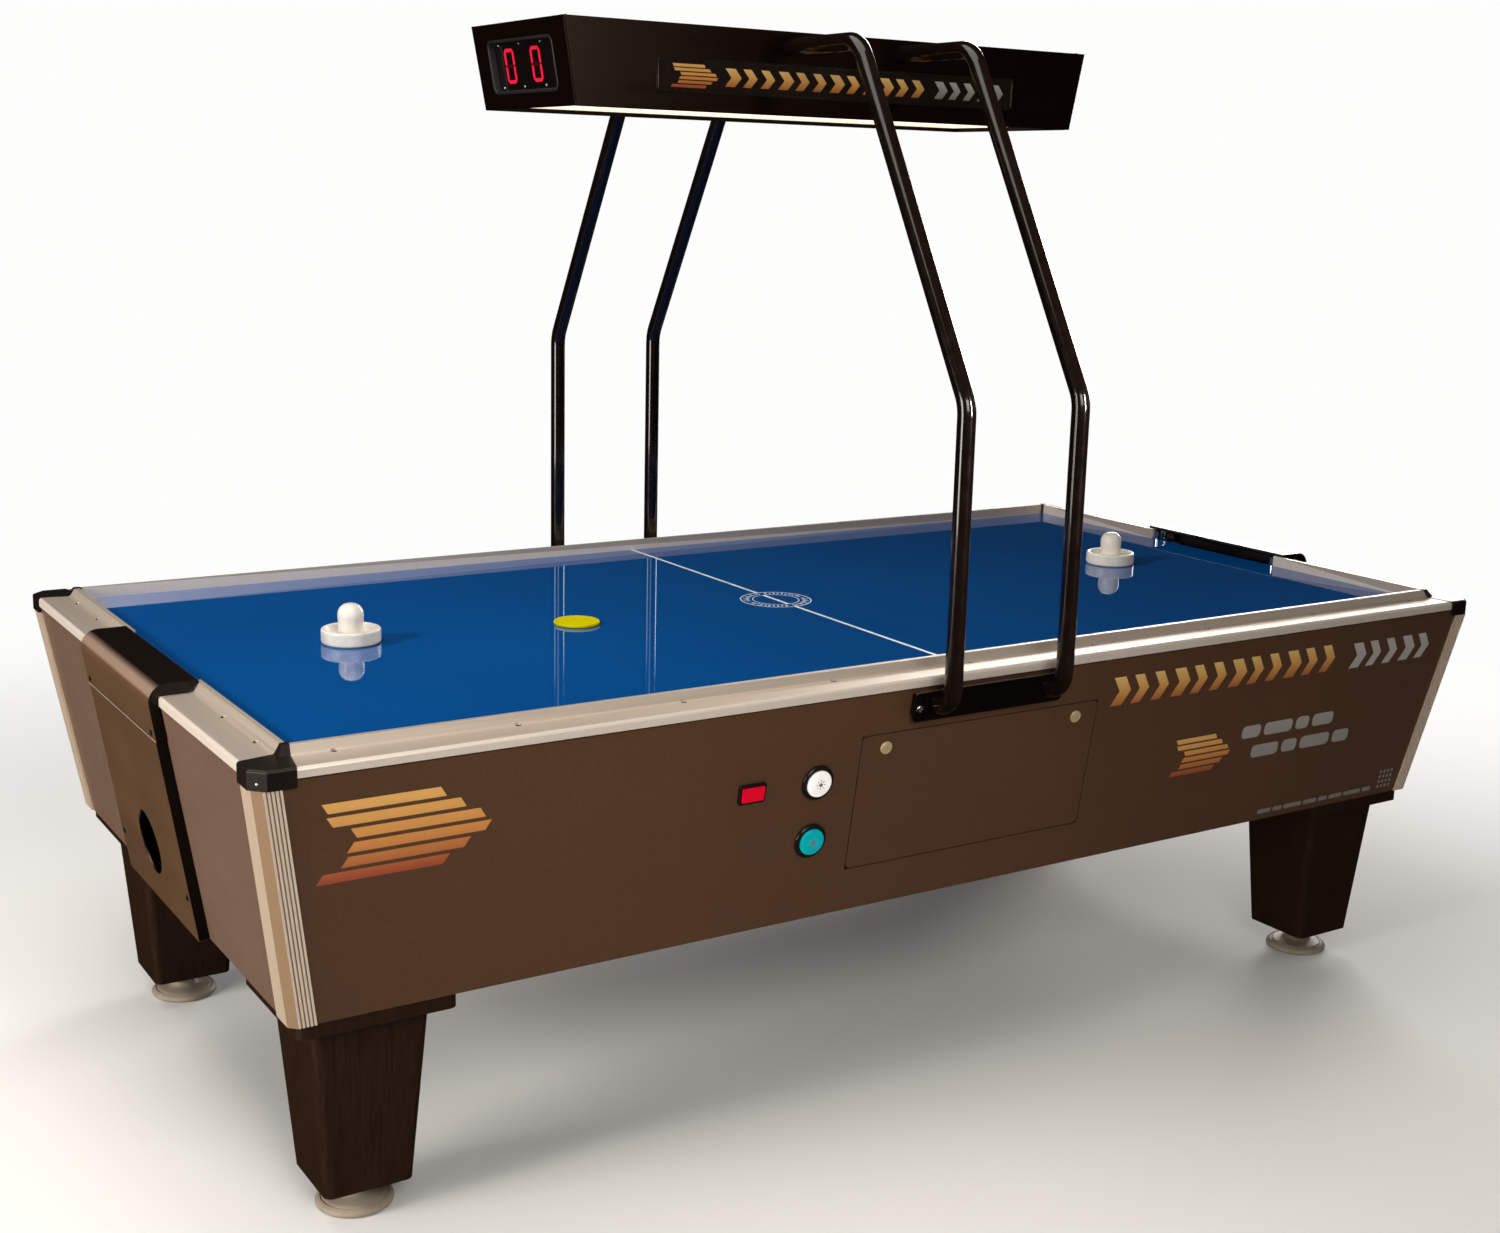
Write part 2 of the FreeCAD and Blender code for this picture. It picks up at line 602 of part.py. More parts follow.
motor_top = f"({blower_top} - motor_drop)"
motor_can = rod("motor_can", "motor_radius", "motor_tall", ("0", "0", f"{motor_top} - motor_tall"))
motor_arm = block("motor_arm", ("motor_arm", "motor_arm_wide", "8"),
                  ("-motor_arm / 2", "-motor_arm_wide / 2", f"{motor_top} - 10"))
arm_posts = [block(f"motor_post_{number}", ("12", "motor_arm_wide", "22"),
                   (low_x, "-motor_arm_wide / 2", f"{motor_top} - 10"))
             for number, low_x in enumerate(("-motor_arm / 2", "motor_arm / 2 - 12"))]
motor_bore = rod("motor_bore", "shaft_radius + 0.05", "60", ("0", "0", f"{motor_top} - 45"))
motor_solid = fuse("motor_solid", [motor_can, motor_arm] + arm_posts)
keep(cut("blower_motor", motor_solid, [motor_bore]), "blower_motor")

inlet = new_body("power_inlet")
flange = sketch_on(inlet, "XY_Plane")
add_rectangle(flange, "inlet_x", "inlet_up", "50", "34")
pad(inlet, flange, "3")
shell = sketch_on(inlet, "XY_Plane")
add_rectangle(shell, "inlet_x", "inlet_up", "30", "23")
pad(inlet, shell, "panel_thick + 8", reverse=True)
socket = sketch_on(inlet, "XY_Plane", "3")
add_rectangle(socket, "inlet_x", "inlet_up", "24", "17")
pocket(inlet, socket, "18")
inlet.Placement = face_frame("rear")
keep(inlet, "power_inlet")


# ---------------------------------------------------------------- goals

def end_formula(height, out):
    """Distance in from the table's end edge of a plane parallel to the end panel's face."""
    return (f"(panel_inset + (rail_height - rail_lip - {height}) * tan(slant_angle * 1 deg)"
            f" - {out} / cos(slant_angle * 1 deg))")


def goal_cover(label, side):
    """Hood over a goal: a bent sheet with closed cheeks that sits on the rails and the panel."""
    body = new_body(label)
    top = "(rail_height + cover_rise)"
    seat = "(rail_height + 0.5)"
    outline = sketch_on(body, "YZ_Plane")
    add_polygon(outline, [
        (end_formula("seam_height", "box_depth"), "seam_height"), (end_formula(top, "box_depth"), top),
        ("cover_inner", top), ("cover_inner", "rail_height + rail_ridge + 0.4"),
        ("rail_slope_end - 2", "rail_height + rail_ridge + 0.4"), ("rail_flat - 8", seat),
        ("-0.6", seat), ("-0.6", "rail_height - rail_lip - 0.4"),
        (end_formula("seam_height", "0.3"), "seam_height")])
    pad(body, outline, "2 * cover_half", midplane=True)
    edge_y = value(end_formula(top, "box_depth"))
    height = value(top)
    fillet(body, "cover_radius", lambda middle, ends: abs(ends.x) > 300 and abs(middle.y - edge_y) < 0.5
           and abs(middle.z - height) < 0.5)
    fillet(body, "ridge_round", lambda middle, ends: abs(ends.x) > 300 and abs(middle.z - height) < 0.5
           and abs(middle.y - value("cover_inner")) < 0.5)
    room = sketch_on(body, "YZ_Plane")
    room_top = f"({top} - cover_sheet)"
    add_polygon(room, [
        (end_formula("seam_height - 2", "(box_depth - cover_sheet)"), "seam_height - 2"),
        (end_formula("(rail_height - 7)", "(box_depth - cover_sheet)"), "rail_height - 7"),
        ("2", room_top), ("cover_inner - 4", room_top), ("cover_inner - 4", "rail_height + 4"),
        ("cover_inner + 20", "rail_height + 4"), ("cover_inner + 20", "seam_height - 2")])
    pocket(body, room, "2 * cover_half - 8", midplane=True)
    half = value("table_length") / 2
    body.Placement = Placement(Vector(), Rotation(Vector(0, 0, 1), SIDES[side])).multiply(
        Placement(Vector(0, -half, 0), Rotation()))
    return keep(body, label)


def goal_box(label, side):
    """Shallow black box on the end panel below the cover, with the round puck-return hole."""
    body = new_body(label)
    seam_up = up_at("(seam_height - 0.8)")
    outer = sketch_on(body, "XY_Plane", "0.3")
    add_rectangle(outer, "0", f"{seam_up} / 2", "2 * box_half", seam_up)
    pad(body, outer, "box_depth - 0.3")
    room = sketch_on(body, "XY_Plane", "box_depth - box_sheet")
    add_polygon(room, [
        ("box_sheet - box_half", "box_sheet"), ("box_half - box_sheet", "box_sheet"),
        ("box_half - box_sheet", f"{seam_up} + 1"), ("box_sheet - box_half", f"{seam_up} + 1")])
    pocket(body, room, "box_depth")
    hole = sketch_on(body, "XY_Plane", "box_depth + 1")
    add_circle(hole, "0", up_at("puck_hole_height"), "puck_hole")
    pocket(body, hole, "box_sheet + 2")
    round_corners(body, "3", -1, 1)
    body.Placement = face_frame(side)
    return keep(body, label)


def puck_chute(label, side):
    """Folded sheet liner behind the goal that drops a scored puck on a ramp to the return hole."""
    body = new_body(label)
    low_front, low_back = up_at("415"), up_at("455")
    high = up_at("(play_height - board_thick - 14)")
    outer = sketch_on(body, "YZ_Plane")
    add_polygon(outer, [
        (low_front, "-0.5"), (high, "-0.5"), (high, "-chute_depth"), (low_back, "-chute_depth")])
    pad(body, outer, "2 * chute_half", midplane=True)
    room = sketch_on(body, "YZ_Plane")
    add_polygon(room, [
        (f"{low_front} + chute_sheet", "5"), (f"{high} + 5", "5"),
        (f"{high} + 5", "chute_sheet - chute_depth"),
        (f"{low_back} + chute_sheet", "chute_sheet - chute_depth")])
    pocket(body, room, "2 * (chute_half - chute_sheet)", midplane=True)
    body.Placement = face_frame(side)
    return body


for side in ("left", "right"):
    goal_cover(f"{side}_goal_cover", side)
    goal_box(f"{side}_goal_box", side)
chutes = [puck_chute(f"{side}_chute", side) for side in ("left", "right")]
keep(group("puck_chutes", chutes), "puck_chutes")

posts = []
for sign_x in ("-", ""):
    for sign_y in ("-", ""):
        for from_end in ("62", "38"):
            posts.append(rod(f"post_{len(posts)}", "post_radius", "post_tall",
                             (f"{sign_x}(table_length / 2 - {from_end})",
                              f"{sign_y}(rail_gap_half - post_radius - 0.3)", "play_height")))
keep(group("goal_posts", posts), "goal_posts")


def cover_screw(side, across, height):
    """Dome-headed screw on the goal hood or box."""
    place = face_frame(side, across, face_up(height), value("box_depth"))
    dome = Part.makeSphere(6.2, Vector(0, 0, -3.8)).common(Part.makeCylinder(5, 5, Vector(0, 0, 0.05)))
    dome.Placement = place
    return dome


cover_screws = [cover_screw(side, across, height) for side in ("left", "right")
                for across in (-185, 185) for height in (712, 437)]


# ---------------------------------------------------------------- legs

platforms = []
for number, (sign_x, sign_y) in enumerate(((-1, -1), (1, -1), (-1, 1), (1, 1))):
    plate = new_body(f"platform_{number}")
    plan = sketch_on(plate, "XY_Plane")
    add_rectangle(plan, "0", "0", "platform_size", "platform_size")
    pad(plate, plan, "platform_thick")
    fillet(plate, "leg_round", lambda middle, ends: abs(ends.z) > 1)
    plate.Placement = Placement(Vector(sign_x * value("leg_x"), sign_y * value("leg_y"),
                                       value("cabinet_bottom - platform_thick")), Rotation())
    platforms.append(plate)
keep(group("leg_platforms", platforms), "leg_platforms")


def leg(label, place):
    """Tapered square leg with rounded edges and a threaded socket for its levelling foot."""
    body = new_body(label)
    section = sketch_on(body, "XY_Plane", "leg_foot")
    add_rectangle(section, "0", "0", "leg_bottom_size", "leg_bottom_size")
    rise = "(cabinet_bottom - platform_thick - leg_foot)"
    taper = pad(body, section, rise)
    taper.setExpression("TaperAngle", bound(f"atan((leg_top_size - leg_bottom_size) / 2 / {rise})"))
    doc.recompute()
    fillet(body, "leg_round", lambda middle, span: abs(span.z) > 100)
    socket_hole = sketch_on(body, "XY_Plane", "leg_foot - 1")
    add_circle(socket_hole, "0", "0", "stem_radius + 0.3")
    pocket(body, socket_hole, "stem_room", reverse=True)
    body.Placement = place
    return keep(body, label)


def leveler(label, place):
    """Round levelling foot: rubber-faced pad, hub, jam nut and screw stem in one turned piece."""
    outline = [("0", "0"), ("foot_radius - 4", "0"), ("foot_radius", "4"), ("foot_radius", "9"),
               ("foot_radius - 5", "14"), ("30", "19"), ("24", "28"), ("16", "28"), ("16", "40"),
               ("stem_radius", "40"), ("stem_radius", "stem_top"), ("0", "stem_top")]
    return keep(revolved(label, outline, place), label)


for name, sign_x, sign_y in (("front_left", -1, -1), ("front_right", 1, -1), ("rear_left", -1, 1),
                             ("rear_right", 1, 1)):
    corner = Placement(Vector(sign_x * value("leg_x"), sign_y * value("leg_y"), 0), Rotation())
    leg(f"{name}_leg", corner)
    leveler(f"{name}_leveler", corner)


# ---------------------------------------------------------------- overhead light

def bracket(label, side):
    """Steel plate stood off the cabinet side that carries two light arms."""
    body = new_body(label)
    middle_up = f"({up_at('bracket_low')} + bracket_tall / 2)"
    plate = sketch_on(body, "XY_Plane", "bracket_standoff")
    add_rectangle(plate, "0", middle_up, "bracket_length", "bracket_tall")
    pad(body, plate, "bracket_plate")
    round_corners(body, "6", -10000, 10000)
    spacers = sketch_on(body, "XY_Plane", "0.2")
    saddles = sketch_on(body, "XY_Plane", "bracket_standoff + bracket_plate")
    for sign in ("-", ""):
        add_rectangle(spacers, f"{sign}(bracket_bolt_x - 12)", middle_up, "44", "bracket_tall - 14")
        add_rectangle(saddles, f"{sign}arm_x", middle_up, "40", "bracket_tall - 8")
    pad(body, spacers, "bracket_standoff - 0.2")
    pad(body, saddles, "5")
    holes = sketch_on(body, "XY_Plane", "40")
    for sign in ("-", ""):
        add_circle(holes, f"{sign}(bracket_bolt_x + 6)", middle_up, "3.3")
    pocket(body, holes, "60")
    body.Placement = face_frame(side)
    return keep(body, label)


def arm_path():
    """Centre line of a light arm in the YZ plane: foot, riser, knee, lean, top bend, canopy."""
    out_y, top_y = -value("arm_y"), -value("arm_top_y")
    foot, knee, top = value("arm_foot_height"), value("arm_knee_height"), value("arm_top_height")
    saddle_y = -(value("table_width") / 2 + 19)
    inside_y = -value("canopy_y_top") + value("canopy_thick") + 0.5
    corners = [(saddle_y, foot), (out_y, foot), (out_y, knee), (top_y, top), (inside_y, top)]
    radii = [36.0, 70.0, 48.0]
    points = [Vector(0, y, z) for y, z in corners]
    edges, start = [], points[0]
    for before, corner, after, radius in zip(points, points[1:], points[2:], radii):
        way_in = (corner - before).normalize()
        way_out = (after - corner).normalize()
        half_turn = way_in.getAngle(way_out) / 2
        trim = radius * math.tan(half_turn)
        first, last = corner - way_in * trim, corner + way_out * trim
        centre_way = (way_out - way_in).normalize()
        middle = corner + centre_way * (radius / math.cos(half_turn) - radius)
        edges += [Part.makeLine(start, first), Part.Arc(first, middle, last).toShape()]
        start = last
    edges.append(Part.makeLine(start, points[-1]))
    return Part.Wire(edges)


def light_arm_shape():
    """Bent steel tube of one light arm, in the plane X=0, on the front side."""
    path = arm_path()
    start = path.Edges[0].Vertexes[0].Point
    way = Vector(0, -1, 0)
    tubes = []
    for radius in (value("arm_radius"), value("arm_radius - arm_wall")):
        ring_wire = Part.Wire([Part.makeCircle(radius, start, way)])
        tubes.append(path.makePipeShell([ring_wire], True, False))
    return tubes[0].cut(tubes[1])


def place_arm(label, shape, across, rear):
    """A light arm moved along the table, and mirrored for the rear side."""
    arm = mirrored(shape, False, rear)
    arm.translate(Vector(across, 0, 0))
    return keep(solid(label, arm), label)


for side in ("front", "rear"):
    bracket(f"{side}_light_bracket", side)
arm_shape = light_arm_shape()
arm_volume = math.pi * (value("arm_radius")**2 - value("arm_radius - arm_wall")**2) * arm_path().Length
print("arm volume against section times length:", round(arm_shape.Volume / arm_volume, 3))
for side, rear in (("front", False), ("rear", True)):
    for hand, sign in (("left", -1), ("right", 1)):
        place_arm(f"{side}_{hand}_light_arm", arm_shape, sign * value("arm_x"), rear)


def bracket_bolt(side, sign):
    """Round-headed bolt through an arm bracket into the cabinet side."""
    up = face_up(value("bracket_low")) + value("bracket_tall") / 2
    out = value("bracket_standoff + bracket_plate")
    head = Part.makeSphere(8, Vector(0, 0, -4)).common(Part.makeCylinder(7, 6, Vector(0, 0, 0.05)))
    shank = Part.makeCylinder(3, out, Vector(0, 0, 0.3 - out))
    bolt = head.fuse(shank).removeSplitter()
    bolt.Placement = face_frame(side, sign * value("bracket_bolt_x + 6"), up, out)
    return bolt


bolts = [bracket_bolt(side, sign) for side in ("front", "rear") for sign in (-1, 1)]
keep(solid("black_screws", Part.makeCompound(bolts + cover_screws)), "black_screws")

CANOPY_TALL = value("canopy_top - canopy_low")
LONG_TILT = math.degrees(math.atan(value("canopy_y_top - canopy_y_low") / CANOPY_TALL))
END_TILT = math.degrees(math.atan(value("canopy_half_top - canopy_half_low") / CANOPY_TALL))


def canopy_frame(side):
    """Placement on a canopy face: local X along it, Y up it, Z outwards, origin at its bottom edge."""
    long_side = side in ("front", "rear")
    reach = value("canopy_y_low" if long_side else "canopy_half_low")
    tilt = LONG_TILT if long_side else END_TILT
    base = Placement(Vector(0, -reach, value("canopy_low")), Rotation(Vector(1, 0, 0), 90 + tilt))
    return Placement(Vector(), Rotation(Vector(0, 0, 1), SIDES[side])).multiply(base)


canopy_face = "sqrt((canopy_top - canopy_low)^2 + (canopy_y_top - canopy_y_low)^2)"
canopy_end_face = "sqrt((canopy_top - canopy_low)^2 + (canopy_half_top - canopy_half_low)^2)"
window_middle = "window_low - canopy_low + window_tall / 2 + 1"
long_boards, end_boards, displays = [], [], []
for side in ("front", "rear"):
    board = new_body(f"canopy_{side}_board")
    face = sketch_on(board, "XY_Plane")
    add_polygon(face, [("-canopy_half_low", "0"), ("canopy_half_low", "0"),
                       ("canopy_half_top", canopy_face), ("-canopy_half_top", canopy_face)])
    pad(board, face, "canopy_thick", reverse=True)
    arm_holes = sketch_on(board, "XY_Plane", "5")
    for sign in ("-", ""):
        add_circle(arm_holes, f"{sign}arm_x", "arm_top_height - canopy_low", "arm_radius + 0.8")
    pocket(board, arm_holes, "canopy_thick + 10")
    fillet(board, "4", lambda middle, ends: abs(ends.y) > 100 and middle.z > -0.1)
    board.Placement = canopy_frame(side)
    long_boards.append(board)

for side in ("left", "right"):
    board = new_body(f"canopy_{side}_board")
    face = sketch_on(board, "XY_Plane")
    gap = "(canopy_thick + 0.6)"
    add_polygon(face, [
        (f"{gap} - canopy_y_low", "0"), (f"canopy_y_low - {gap}", "0"),
        (f"canopy_y_top - {gap}", canopy_end_face), (f"{gap} - canopy_y_top", canopy_end_face)])
    pad(board, face, "canopy_thick", reverse=True)
    window = sketch_on(board, "XY_Plane")
    add_rectangle(window, "0", window_middle, "2 * window_half", "window_tall")
    pocket(board, window, "canopy_thick + 1")
    window_up = value("window_low - canopy_low")
    round_corners(board, "10", window_up - 10, window_up + value("window_tall") + 10)
    board.Placement = canopy_frame(side)
    end_boards.append(board)

    display = new_body(f"{side}_display")
    back = sketch_on(display, "XY_Plane", "-canopy_thick - 0.3")
    add_rectangle(back, "0", window_middle, "2 * window_half + 16", "window_tall + 14")
    pad(display, back, "5", reverse=True)
    digits = sketch_on(display, "XY_Plane", "-canopy_thick - 0.3")
    for digit_place in ("-digit_x", "digit_x"):
        add_rectangle(digits, digit_place, window_middle, "52", "70")
    pad(display, digits, "4")
    display.Placement = canopy_frame(side)
    displays.append(display)

keep(group("canopy_long_panels", long_boards), "canopy_long_panels")
keep(group("canopy_end_panels", end_boards), "canopy_end_panels")
keep(group("score_displays", displays), "score_displays")

lid_inset = "(canopy_thick + 2)"
lid_x, lid_y = f"(canopy_half_top - {lid_inset} - 2)", f"(canopy_y_top - {lid_inset})"
lid = block("canopy_top", (f"2 * {lid_x}", f"2 * {lid_y}", "canopy_thick - 3"),
            (f"-{lid_x}", f"-{lid_y}", "canopy_top - canopy_thick"))
keep(lid, "canopy_top")
diffuser_x, diffuser_y = "(canopy_half_low - canopy_thick - 6)", "(canopy_y_low - canopy_thick - 2)"
diffuser = block("canopy_diffuser", (f"2 * {diffuser_x}", f"2 * {diffuser_y}", "3"),
                 (f"-{diffuser_x}", f"-{diffuser_y}", "canopy_low + 7"))
keep(diffuser, "canopy_diffuser")

along_x = Rotation(Vector(0, 1, 0), 90)
lamp_height = "(canopy_low + 62)"
for label, lamp_place in (("white_lamp", "-lamp_y"), ("black_lamp", "lamp_y")):
    lamp = rod(label, "lamp_radius", "2 * lamp_half", ("-lamp_half", lamp_place, lamp_height), along_x)
    keep(lamp, label)
holders = []
for low_x in ("-lamp_half - 18", "lamp_half + 0.3"):
    for lamp_place in ("-lamp_y", "lamp_y"):
        holders.append(block(f"holder_{len(holders)}", ("17.7", "34", "82"),
                             (low_x, f"{lamp_place} - 17", f"{lamp_height} - 16")))
keep(group("lamp_holders", holders), "lamp_holders")

signs = []
for side in ("front", "rear"):
    plate = new_body(f"sign_{side}")
    face = sketch_on(plate, "XY_Plane", "0.1")
    add_rectangle(face, "0", "sign_low - canopy_low + sign_tall / 2", "2 * sign_half", "sign_tall")
    pad(plate, face, "sign_thick")
    round_corners(plate, "5", -10000, 10000)
    plate.Placement = canopy_frame(side)
    signs.append(plate)
keep(group("canopy_signs", signs), "canopy_signs")


# ---------------------------------------------------------------- service door, locks and buttons

door = new_body("service_door")
leaf = sketch_on(door, "XY_Plane")
add_rectangle(leaf, "door_x", door_up, "door_wide - 2 * door_gap", "door_tall - 2 * door_gap")
pad(door, leaf, "door_thick", reverse=True)
round_corners(door, "10", -10000, 10000)
lock_holes = sketch_on(door, "XY_Plane")
for sign in ("-", "+"):
    add_circle(lock_holes, f"door_x {sign} lock_x", up_from_top("lock_down"), "lock_radius + 0.3")
pocket(door, lock_holes, "door_thick + 1")
door.Placement = face_frame("front")
keep(door, "service_door")


def door_lock(label, sign):
    """Cam lock: round head, barrel through the door and a cam behind it, lying along the door."""
    radius, depth = value("lock_radius"), value("panel_thick") + 1.5
    head = Part.makeCylinder(11, 3.2, Vector(0, 0, 0.3))
    head = head.makeFillet(1.2, [edge for edge in head.Edges if edge.CenterOfMass.z > 3])
    keyway = Part.makeBox(1.8, 8, 3, Vector(-0.9, -4, 2))
    barrel = Part.makeCylinder(radius, depth + 0.4, Vector(0, 0, -depth))
    cam = Part.makeBox(46, 16, 2.5, Vector(-36 if sign > 0 else -10, -8, -depth - 2.4))
    lock = head.cut(keyway).fuse(barrel).fuse(cam).removeSplitter()
    across = value("door_x") + sign * value("lock_x")
    lock.Placement = face_frame("front", across, value(up_from_top("lock_down")))
    return keep(solid(label, lock), label)


door_lock("left_door_lock", -1)
door_lock("right_door_lock", 1)

bezel_outline = [("6.6", "-24"), ("14", "-24"), ("14", "0.2"), ("bezel_radius", "0.2"),
                 ("bezel_radius", "3"), ("bezel_radius - 3", "6"), ("23.4", "6"), ("23.4", "1.4"),
                 ("6.6", "1.4")]
button_outline = [("0", "-30"), ("6", "-30"), ("6", "5.6"), ("cap_radius", "5.6"), ("cap_radius", "8"),
                  ("cap_radius - 3", "10.2"), ("cap_radius - 9", "11.3"), ("0", "11.8")]
bezels = []
for label, down in (("white_light_button", "white_down"), ("black_light_button", "black_down")):
    spot = face_frame("front", value("light_x"), value(up_from_top(down)))
    bezels.append(revolved(f"{label}_bezel", bezel_outline, spot))
    keep(revolved(label, button_outline, spot), label)

start_spot = face_frame("front", value("start_x"), value(up_from_top("start_down")))
start_bezel = new_body("start_bezel")
rim = sketch_on(start_bezel, "XY_Plane", "0.2")
add_rectangle(rim, "0", "0", "start_wide", "start_tall")
pad(start_bezel, rim, "4.8")
round_corners(start_bezel, "4", -10000, 10000)
sleeve = sketch_on(start_bezel, "XY_Plane", "0.2")
add_rectangle(sleeve, "0", "0", "start_wide - 13", "start_tall - 11")
pad(start_bezel, sleeve, "24", reverse=True)
recess = sketch_on(start_bezel, "XY_Plane", "5")
add_rectangle(recess, "0", "0", "start_wide - 8", "start_tall - 8")
pocket(start_bezel, recess, "3.8")
stem_bore = sketch_on(start_bezel, "XY_Plane", "5")
add_rectangle(stem_bore, "0", "0", "13", "13")
pocket(start_bezel, stem_bore, "40")
start_bezel.Placement = start_spot
bezels.append(start_bezel)
keep(group("button_bezels", bezels), "button_bezels")

start_button = new_body("start_button")
key = sketch_on(start_button, "XY_Plane", "4.8")
add_rectangle(key, "0", "0", "start_wide - 9", "start_tall - 9")
pad(start_button, key, "4")
stem = sketch_on(start_button, "XY_Plane", "4.8")
add_rectangle(stem, "0", "0", "12", "12")
pad(start_button, stem, "32", reverse=True)
fillet(start_button, "1.5", lambda middle, ends: middle.z > 8.5)
start_button.Placement = start_spot
keep(start_button, "start_button")


# ---------------------------------------------------------------- mallets and puck

def loose(x, y):
    """Placement of a loose piece that floats just above the playfield."""
    return Placement(Vector(value(x), value(y), value("play_height + float_gap")), Rotation())


mallet_outline = [("0", "0"), ("mallet_radius - 2", "0"), ("mallet_radius", "2"),
                  ("mallet_radius", "22"), ("mallet_radius - 2", "24.4"),
                  ("mallet_radius - 6", "25"), ("mallet_radius - 9", "22"),
                  ("mallet_radius - 12", "15"), ("mallet_radius - 18", "12"), ("grip_radius + 2", "12"),
                  ("grip_radius - 1", "16"), ("grip_radius - 1", "32"), ("grip_radius", "46"),
                  ("grip_radius - 1", "54"), ("grip_radius - 4", "60"), ("grip_radius - 9", "65"),
                  ("grip_radius - 16", "mallet_tall - 0.5"), ("0", "mallet_tall")]
for hand in ("left", "right"):
    place = loose(f"mallet_{hand}_x", f"mallet_{hand}_y")
    keep(revolved(f"{hand}_mallet", mallet_outline, place), f"{hand}_mallet")
puck_outline = [("0", "0"), ("puck_radius - 1", "0"), ("puck_radius", "1"),
                ("puck_radius", "puck_thick - 1"), ("puck_radius - 1", "puck_thick"), ("0", "puck_thick")]
keep(revolved("puck", puck_outline, loose("puck_x", "puck_y")), "puck")


# ---------------------------------------------------------------- check and write

doc.recompute()
for obj in doc.Objects:
    if "Invalid" in obj.State or "Error" in obj.State:
        raise RuntimeError(f"{obj.Label} failed: {obj.State}")
for label, obj in parts.items():
    if obj.Shape.isNull() or not obj.Shape.isValid() or not obj.Shape.Solids:
        raise RuntimeError(f"{label} has no valid solid")

os.makedirs("parts", exist_ok=True)
for label, obj in parts.items():
    obj.Shape.exportStep(f"parts/{label}.step")
print(len(parts), "sub-parts written")
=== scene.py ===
import math
import bmesh
import bpy
from mathutils import Matrix, Vector


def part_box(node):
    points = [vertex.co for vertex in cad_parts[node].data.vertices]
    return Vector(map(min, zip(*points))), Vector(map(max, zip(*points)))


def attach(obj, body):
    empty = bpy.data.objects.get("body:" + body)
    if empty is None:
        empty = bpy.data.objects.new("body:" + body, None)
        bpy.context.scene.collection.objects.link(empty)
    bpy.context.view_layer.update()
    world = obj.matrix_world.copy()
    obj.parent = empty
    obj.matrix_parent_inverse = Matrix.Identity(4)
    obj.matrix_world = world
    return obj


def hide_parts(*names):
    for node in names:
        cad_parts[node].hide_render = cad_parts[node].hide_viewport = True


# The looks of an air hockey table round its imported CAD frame. Metres, +Z up, the floor at Z = 0.

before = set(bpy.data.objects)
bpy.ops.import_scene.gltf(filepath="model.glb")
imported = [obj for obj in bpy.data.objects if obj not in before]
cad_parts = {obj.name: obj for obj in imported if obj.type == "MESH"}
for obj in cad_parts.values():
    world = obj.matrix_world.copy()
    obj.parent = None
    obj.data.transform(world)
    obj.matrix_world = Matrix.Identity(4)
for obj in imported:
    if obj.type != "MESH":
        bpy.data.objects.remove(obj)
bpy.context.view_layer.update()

MM = 0.001
SLANT = math.radians(9.1)  # lean of the cabinet's faces
PANEL_THICK = 19 * MM
BOX_DEPTH = 17.6  # how far a goal box stands off its end panel, in millimetres
COVER_SEAM = 0.699  # height of the joint between a goal hood and its box
COVER_HALF = 202  # half the width of that joint, in millimetres
LONG_SIDES, ENDS = ("front", "rear"), ("left", "right")
SINK_BAND = (40 * MM, 60 * MM)  # how far in from a rail's edge its screw sinks lie
SINK_DEPTHS = (0.2 * MM, 5 * MM)  # how far under the rail's top the faces of a sink lie
TRIM_RIDGE_OUT = 3.95  # how far a corner trim's ridges stand off the long side's face
TRIM_GROOVE = (0.3, 2.6)  # how far back from the ridges the grooves' faces lie
TRIM_BEVEL_REACH = 12  # how far back from the ridges the bevel reaches
PRINT = (0.05, 0.2)  # bottom and top of printed foil over the face that it is on
INLAY = (0.02, 0.12)  # the same for the markings in the playing surface
SIGN_PRINT = (2.02, 2.2)  # the same for the foil on the sign plates
PALE = (0.985, 0.983, 0.978, 1)  # the studio's far floor and wall
RAIL_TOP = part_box("rail_screws")[1].z + 0.1 * MM
PLAY_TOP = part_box("playfield")[1].z


def add_node(tree, kind, inputs=None):
    """A new shader node. Its inputs are given by name or number, as values or as other nodes' outputs."""
    made = tree.nodes.new(f"ShaderNode{kind}")
    for key, value in (inputs or {}).items():
        if isinstance(value, bpy.types.NodeSocket):
            tree.links.new(value, made.inputs[key])
        else:
            made.inputs[key].default_value = value
    return made


# ---- camera, stage and light

def make_camera():
    """Camera at the photographed viewpoint: in front of the left half, a little above the rails."""
    yaw, pitch, roll = math.radians(32.645), math.radians(12.58), math.radians(1.383)
    forward = Vector((math.sin(yaw) * math.cos(pitch), math.cos(yaw) * math.cos(pitch), -math.sin(pitch)))
    level = Vector((math.cos(yaw), -math.sin(yaw), 0))
    up = level.cross(forward)
    across = level * math.cos(roll) + up * math.sin(roll)
    top = up * math.cos(roll) - level * math.sin(roll)
    data = bpy.data.cameras.new("camera")
    data.lens, data.sensor_width = 45.756, 36
    data.clip_start, data.clip_end = 0.05, 200
    camera = bpy.data.objects.new("camera", data)
    camera.matrix_world = Matrix((across, top, -forward)).transposed().to_4x4()
    camera.location = (-1.99292, -3.01964, 1.53429)
    bpy.context.scene.collection.objects.link(camera)
    bpy.context.scene.camera = camera


